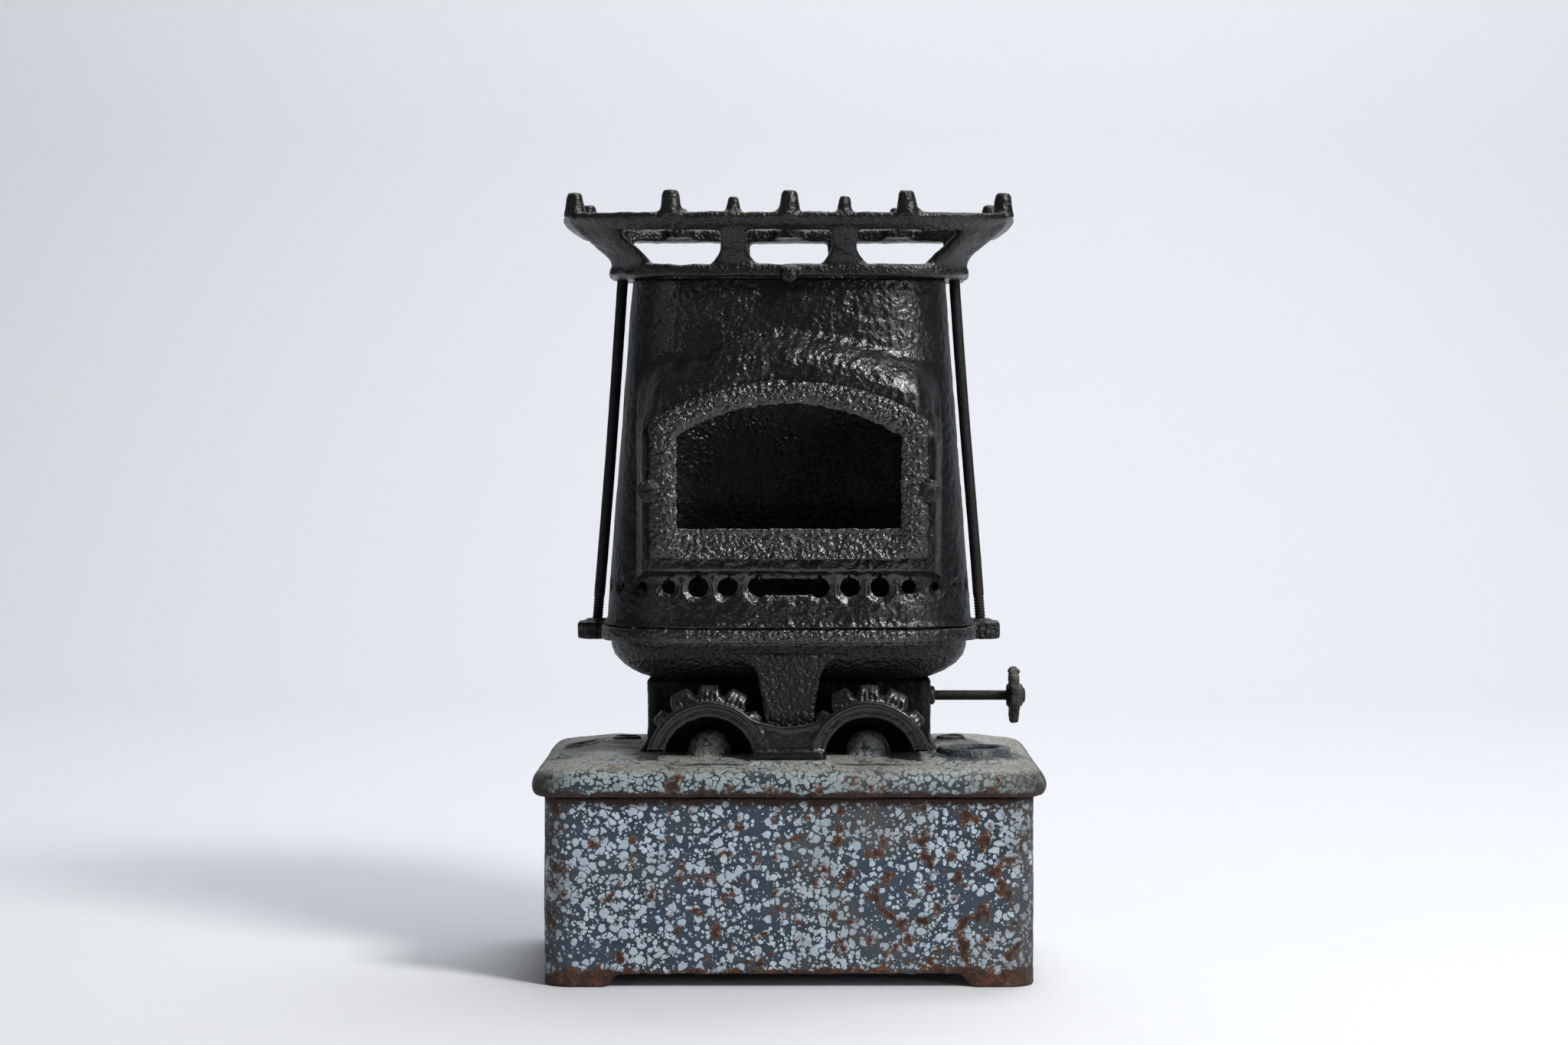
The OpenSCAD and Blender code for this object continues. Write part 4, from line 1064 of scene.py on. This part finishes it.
def sweptOval(profile, power, rough=0.0):
    # closed profile of (half width, half depth, height) points swept round a superellipse
    rings = np.array([ring(ovalOutline(a, b, power, 420), z) for a, b, z in profile])
    if rough:
        rings[..., 2] += rough * noise(rings, 6, 111)
    return surface(rings, loop=True)


def strutShell(a, b, w0, w1, thick, across=None):
    # strip with a rounded section that leaves the collar steeply, swings out by an eased step and meets
    # the rim flat; its width eases from w0 to w1
    a, b = np.array(a), np.array(b)
    u = np.linspace(0, 1, 22)
    ease = smooth(0.12, 1, u)
    out = b[:2] - a[:2]
    run = np.linalg.norm(out)
    out = out / run
    across = np.array([-out[1], out[0]] if across is None else across)
    waist = w1 * 0.28 * np.sin(np.pi * u) * (w1 > 20)
    w = w1 + (w0 - w1) * (1 - smooth(0, 0.5, u)) + 1.5 * smooth(0.85, 1, u) - waist
    path = np.column_stack([a[0] + out[0] * run * ease, a[1] + out[1] * run * ease, a[2] + (b[2] - a[2]) * u])
    normal = np.cross(headings(path), np.append(across, 0))
    t = angles(28)
    cx, cy = signedPower(np.cos(t), 0.5), signedPower(np.sin(t), 0.7)
    rings = (path[:, None] + np.append(across, 0)[None, None] * (w[:, None] / 2 * cx)[..., None]
             + normal[:, None] * (thick / 2 * cy)[None, :, None])
    return surface(rings)


def pegShell(x, y, z0, d, h, lean, seed):
    # knuckle of iron with a rounded, worn top
    r = d / 2
    profile = [(0.1, z0 - 2), (r * 1.4, z0 - 2), (r * 1.26, z0 + 0.4), (r * 1.12, z0 + h * 0.4),
               (r * 1.0, z0 + h * 0.75), (r * 0.9, z0 + h - 0.9), (r * 0.7, z0 + h - 0.2), (0.1, z0 + h)]
    v, f = lathe(profile, 28, 0.07, seed)
    v[:, 0] += x + lean * (v[:, 2] - z0)
    v[:, 1] += y
    return v, f


def buildTrivet():
    # rim and collar swept round their superellipses, struts between them, pegs and fingers, all cast in one
    s = trivet
    a, b = s["rimHalf"]
    lo, hi, wide, midX, pegX = s["rimLow"], s["rimTop"], s["rimWide"], s["midX"], s["pegX"]
    rim = [(wide, lo + 1), (6, lo), (2.6, lo + 2.2), (0.6, lo + 4.6), (0.2, lo + 6.2), (0.6, hi - 0.5),
           (1.8, hi), (6, hi - 0.4), (wide - 1, hi - 1.1), (wide, hi - 2)]
    shells = [sweptOval([(a - i, b - i, z) for i, z in rim], s["rimPower"])]
    (c, d), (e, g), low, top = s["collarHalf"], s["collarIn"], s["collarLow"], s["collarTop"]
    collar = [(e, g, low + 0.3), (c - 0.6, d - 0.6, low + 0.3), (c, d, low + 1.2), (c, d, top - 1.2),
              (c - 1, d - 1, top - 0.2), (e + 0.6, g + 0.6, top - 0.2), (e, g, top - 1)]
    shells.append(sweptOval(collar, 4, 0.5))
    seed = 120
    for sx, sy in ((-1, -1), (-1, 1), (1, -1), (1, 1)):
        shells.append(strutShell((sx * midX, sy * 57.4, 296.5), (sx * midX, sy * 68.2, 318), 23, 11.5, 5.6))
        shells.append(strutShell((sx * 66, sy * 46, 296.5), (sx * 81, sy * 56.5, 318.5), 25, 24, 6.4,
                                 (sx * 0.8, -sy * 0.6)))
        for x, y, dia, h in ((midX, 70.2, 5.4, 6.4), (89.7, 50, 7.4, 9.0), (pegX, 70.8, 7.6, 9.0)):
            x, y = sx * x, sy * y
            shells.append(pegShell(x, y, hi, dia, h, 0.04 * noise(np.array([[x, y, 3.0]]), 4, 9)[0], seed))
            seed += 1
        shells.append(pegShell(sx * pegX + 3.4, sy * 69.8, hi - 0.6, 5.0, 2.2, 0, seed))
    for sy in sides:
        shells.append(pegShell(0, sy * 70.8, hi, 7.6, 9.0, 0.02, seed + sy))
        shells.append(pegShell(-3.2, sy * 70, hi - 0.6, 4.6, 2.4, 0, seed + 5 + sy))
        for x in (-pegX, 0, pegX):
            finger = np.array([(7.5, 1.2), (3.1, -14), (-3.1, -14), (-7.5, 1.2)])
            finger = np.column_stack([finger[:, 0] + x, sy * (64 + finger[:, 1])])[::sy]
            shells.append(stacked(even(finger, 36), lo + 2.2, lo + 7))
    lug = lathe([(0.1, -0.2), (4.0, 0), (4.0, 4.6), (3.4, 6.2), (1.8, 6.9), (0.1, 7)], 36)
    shells.append(aimed(lug, towardsFront, (0, -58.1, 296.2)))
    pad = lathe([(0.1, 295.2), (5.6, 295.4), (5.6, 300.6), (4.8, 301.2), (0.1, 301.2)], 36)
    shells += [moved(pad, sx * s["padX"], 0, 0) for sx in sides]
    piece = cast(meshObject("iron_trivet", *joined(*shells)), s["voxel"], 4)
    roughen(piece, (12, 0.28, 131), (3.4, 0.2, 132), (1.7, 0.12, 133))
    return cutAway(piece, [aimed(rod(2.45, -30, 30), (-sx * 0.0758, 0, 0.997), (sx * 71.6, 0, 298))
                           for sx in sides])


place(buildTrivet(), "chimney", satinIron, "black_iron", "trivet")


# tie rods

rods = {"foot": (83.5, 141.0), "top": (71.3, 301.4), "r": 2.35, "pitch": 1.25}


def buildRod(side):
    # drawn bar, slightly wavy along a sine, with a rolled thread at its foot (a triangle wave that climbs
    # by its pitch each turn) and a worn domed head
    (footX, footZ), (topX, topZ), pitch = rods["foot"], rods["top"], rods["pitch"]
    length = math.hypot(footX - topX, topZ - footZ)
    h = np.concatenate([np.linspace(0, 20, 110), np.linspace(20.6, length, 90)])[:, None]
    count = 28
    tooth = np.abs(((h / pitch - angles(count) / (2 * np.pi)) % 1) - 0.5) * 2
    rings = turned(rods["r"] - smooth(19, 17, h) * 0.45 * tooth, h, count)
    rings[..., 0] += 0.25 * np.sin(rings[..., 2] / 31 + side)
    rings[..., :2] *= (1 + 0.02 * noise(rings, 4, 141))[..., None]
    dome = [(0.1, -1.2), (3.6, -0.5), (4.35, 0.3), (4.3, 1.4), (3.4, 2.3), (0.1, 2.6)]
    head = lathe([(r, length + z) for r, z in dome], 44, 0.04, 143 + side)
    shell = joined(surface(rings), head)
    return meshObject("steel_rod_" + sideName[side],
                      *aimed(shell, (-side * (footX - topX), 0, topZ - footZ), (side * footX, 0, footZ)))


for side in sides:
    place(buildRod(side), "chimney", darkSteel, "dark_steel", sideName[side] + "_tie_rod")


# burner housing

housing = {"half": (60.5, 34.0), "corner": 4.0, "low": 94.5, "top": 125.0, "wall": 3.0, "plinth": 3.0}


def buildHousing():
    # open box with soft edges whose foot flares on to the lid by an eased step
    (w, d), low, top, wall = housing["half"], housing["low"], housing["top"], housing["wall"]
    profile = [(-housing["plinth"] * (1 - smooth(0, 5.5, h)), low + 0.1 + h) for h in np.linspace(0, 6, 9)]
    profile += [(0, z) for z in np.linspace(low + 6.5, top - 1.2, 22)]
    profile += [(0.4, top - 0.3), (1.3, top), (wall - 0.5, top), (wall, top - 0.8), (wall, top - 8),
                (wall, low + 0.4), (wall - 0.5, low)]
    inset = insetRings(2 * w, 2 * d, housing["corner"], 1, 1.2, 380)
    rings = np.array([inset(i, z) for i, z in profile])
    y = rings[..., 1]
    rings[..., 1] = np.where(y < -d, -d + (y + d) * 0.1, y)
    piece = meshObject("iron_burner_housing", *surface(rings, loop=True))
    p = readMesh(piece)
    push = layered(p, [(8, 0.25, 151), (2.2, 0.2, 152)]) - 0.2
    writeMesh(piece, pushed(piece, push * smooth(low + 0.3, low + 2, p[:, 2])))
    return cutAway(piece, [aimed(rod(3.1, -20, 20), towardsRight, spindleAxis + (side * w, 0, 0))
                           for side in sides])


place(buildHousing(), "stove", glossIron, "black_iron", "burner_housing")


# winder: bush, spindle and wheel

wheel = {"x": (93.7, 101.2), "columns": 260, "teeth": 12, "chipAt": 1.75}


def buildBush():
    # short gland round the spindle, its outer edge rounded by wear
    profile = [(2.22, 57.5), (2.9, 57.5), (2.9, 60.6), (3.9, 60.7), (4.1, 61.4), (3.9, 62.4), (3.2, 63.0),
               (2.22, 63.1)]
    shell = lathe(profile, 48, 0.02, 155, loop=True)
    return meshObject("brass_gland", *aimed(shell, towardsRight, spindleAxis))


def buildSpindle():
    # drawn steel bar with a burr at its outer end, where it is riveted over the wheel
    profile = [(0.1, -59.5), (1.9, -59.5), (2.1, -59.1)] + [(2.1, x) for x in np.linspace(-55, 92, 60)]
    profile += [(2.1, 100.4), (3.1, 101.0), (3.2, 101.6), (2.2, 102.0), (0.1, 102.0)]
    return meshObject("steel_spindle", *aimed(lathe(profile, 28, 0.018, 157), towardsRight, spindleAxis))


def buildWheel():
    # cast knob: thick hub and thin rim scalloped by a cosine, a piece broken out at the top by an eased
    # step round one angle, and crusted with scale
    x0, x1 = wheel["x"]
    t = angles(wheel["columns"])
    profile = [(2.12, 0.2), (4.6, 0), (5.2, 1.4), (6.2, 2.3), (9.0, 2.1), (11.2, 1.2), (12.0, 1.6),
               (12.35, 2.8), (12.3, 4.4), (11.6, 5.6), (10.6, 5.5), (9.2, 4.6), (6.4, 4.3), (5.4, 5.2)]
    profile = [(r, x0 + z) for r, z in profile] + [(4.6, x1 - 0.1), (2.6, x1), (2.12, x1 - 0.3)]
    r, z = np.array(profile).T[..., None]
    lobe = 1 - 0.055 * (0.5 + 0.5 * np.cos(wheel["teeth"] * t))
    away = np.abs((t - wheel["chipAt"] + np.pi) % (2 * np.pi) - np.pi)
    ragged = 0.06 * noise(np.column_stack([9 * np.cos(t), 9 * np.sin(t), 0 * t]), 1.6, 161)
    chip = 1 - 0.34 * smooth(0.34, 0.2, away + ragged)
    rings = turned(r * (1 + (r > 7) * (lobe * chip - 1)), z, wheel["columns"])
    piece = meshObject("iron_winder_wheel", *aimed(surface(rings, loop=True), towardsRight, spindleAxis))
    modify(piece, "SUBSURF", levels=1, render_levels=1)
    p = readMesh(applied(piece))
    out = smooth(4, 8, np.hypot(*(p - spindleAxis).T[1:]))
    scale = smooth(124, 127, p[:, 2]) * 0.5
    push = (0.28 + scale) * noise(p, 1.7, 163) + (0.16 + 0.5 * scale) * noise(p, 0.9, 164)
    writeMesh(piece, pushed(piece, (push - 0.2) * out))
    return piece


place(buildBush(), "stove", tarnishedBrass, "tarnished_brass", "spindle_bush")
place(buildSpindle(), "winder", darkSteel, "dark_steel", "winder_spindle")
place(buildWheel(), "winder", crustIron, "black_iron", "winder_wheel")


# wicks

def buildWick(side):
    # flat plait of cotton, ribbed by a cosine across its width, with a burnt, uneven top edge
    top = wicks["top"]
    outline = ovalOutline(*wicks["half"], 6, 130)
    heights = np.concatenate([np.linspace(wicks["low"], 120, 24), np.linspace(121, top - 0.7, 16)])
    rings = [ring(outline, z) for z in heights]
    rings += [ring(outline * np.array([0.99, 0.7]), top - 0.2), ring(outline * np.array([0.96, 0.2]), top)]
    rings = np.array(rings)
    rings[..., 1] *= 0.86 + 0.18 * np.cos(rings[..., 0] * 2 * np.pi / 2.1) * 0.7
    burnt = 0.9 + 0.8 * noise(rings * np.array([1, 0.3, 0]), 3.5, 171 + side)
    rings[..., 2] -= smooth(118, 134, rings[..., 2]) * burnt
    rings[..., 0] += side * wicks["x"]
    return meshObject("cotton_wick_" + sideName[side], *surface(rings))


for side in sides:
    place(buildWick(side), sideName[side] + "_wick", cotton, "charred_cotton", sideName[side] + "_wick")


# rear hinge bracket and its screws

hinge = {"cheekX": 9.6, "cheekR": 6.4, "screwX": 18.1, "y": 68}


def buildRearBracket():
    # foot plate with two cheeks, cast in one
    foot = roundedOutline(48.2, 17, 2.5, 80) + np.array([0, hinge["y"]])
    shells = [surface(np.array([ring(foot, 93.3), ring(foot, 96.3), ring(foot * np.array([0.985, 1]), 96.9)]))]
    a = np.linspace(-0.35, np.pi + 0.35, 30)
    r, x = hinge["cheekR"], hinge["cheekX"]
    cheek = np.column_stack([pinAxis[1] + r * np.cos(a), pinAxis[2] + r * np.sin(a)])
    cheek = np.vstack([cheek, [[59.3, 95], [73.2, 95]]])
    shells += [sideSlab(cheek, side * x - 2.5, side * x + 2.5) for side in sides]
    piece = cast(meshObject("iron_hinge_bracket", *joined(*shells)), 0.5, 4)
    roughen(piece, (8, 0.12, 181), (2.0, 0.14, 182))
    return cutAway(piece, [aimed(rod(2.52, -30, 30), towardsRight, pinAxis)])


def buildRearScrews():
    shells, slots = [], []
    profile = [(0.1, 96.8), (3.6, 96.8), (3.75, 97.4), (3.4, 98.3), (2.4, 98.9), (0.1, 99.0)]
    for side, turn in ((-1, 0.5), (1, 2.0)):
        x, y = side * hinge["screwX"], hinge["y"]
        shells += [moved(shell, x, y, 0) for shell in (lathe(profile, 56, 0.03, 185), rod(2.0, 94.4, 97, 24))]
        slots.append(prism(slotBar(turn, x, y), 98.0, 101))
    return cutAway(meshObject("steel_bracket_screws", *joined(*shells)), slots)


place(buildRearBracket(), "stove", satinIron, "black_iron", "rear_bracket")
place(buildRearScrews(), "stove", darkSteel, "dark_steel", "rear_bracket_screws")


# the CAD pieces that are still shown

for node in ("hinge_pin", "winder_cogs", "left_wick_tube", "right_wick_tube"):
    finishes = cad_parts[node].data.materials
    finishes.clear()
    finishes.append(darkSteel)
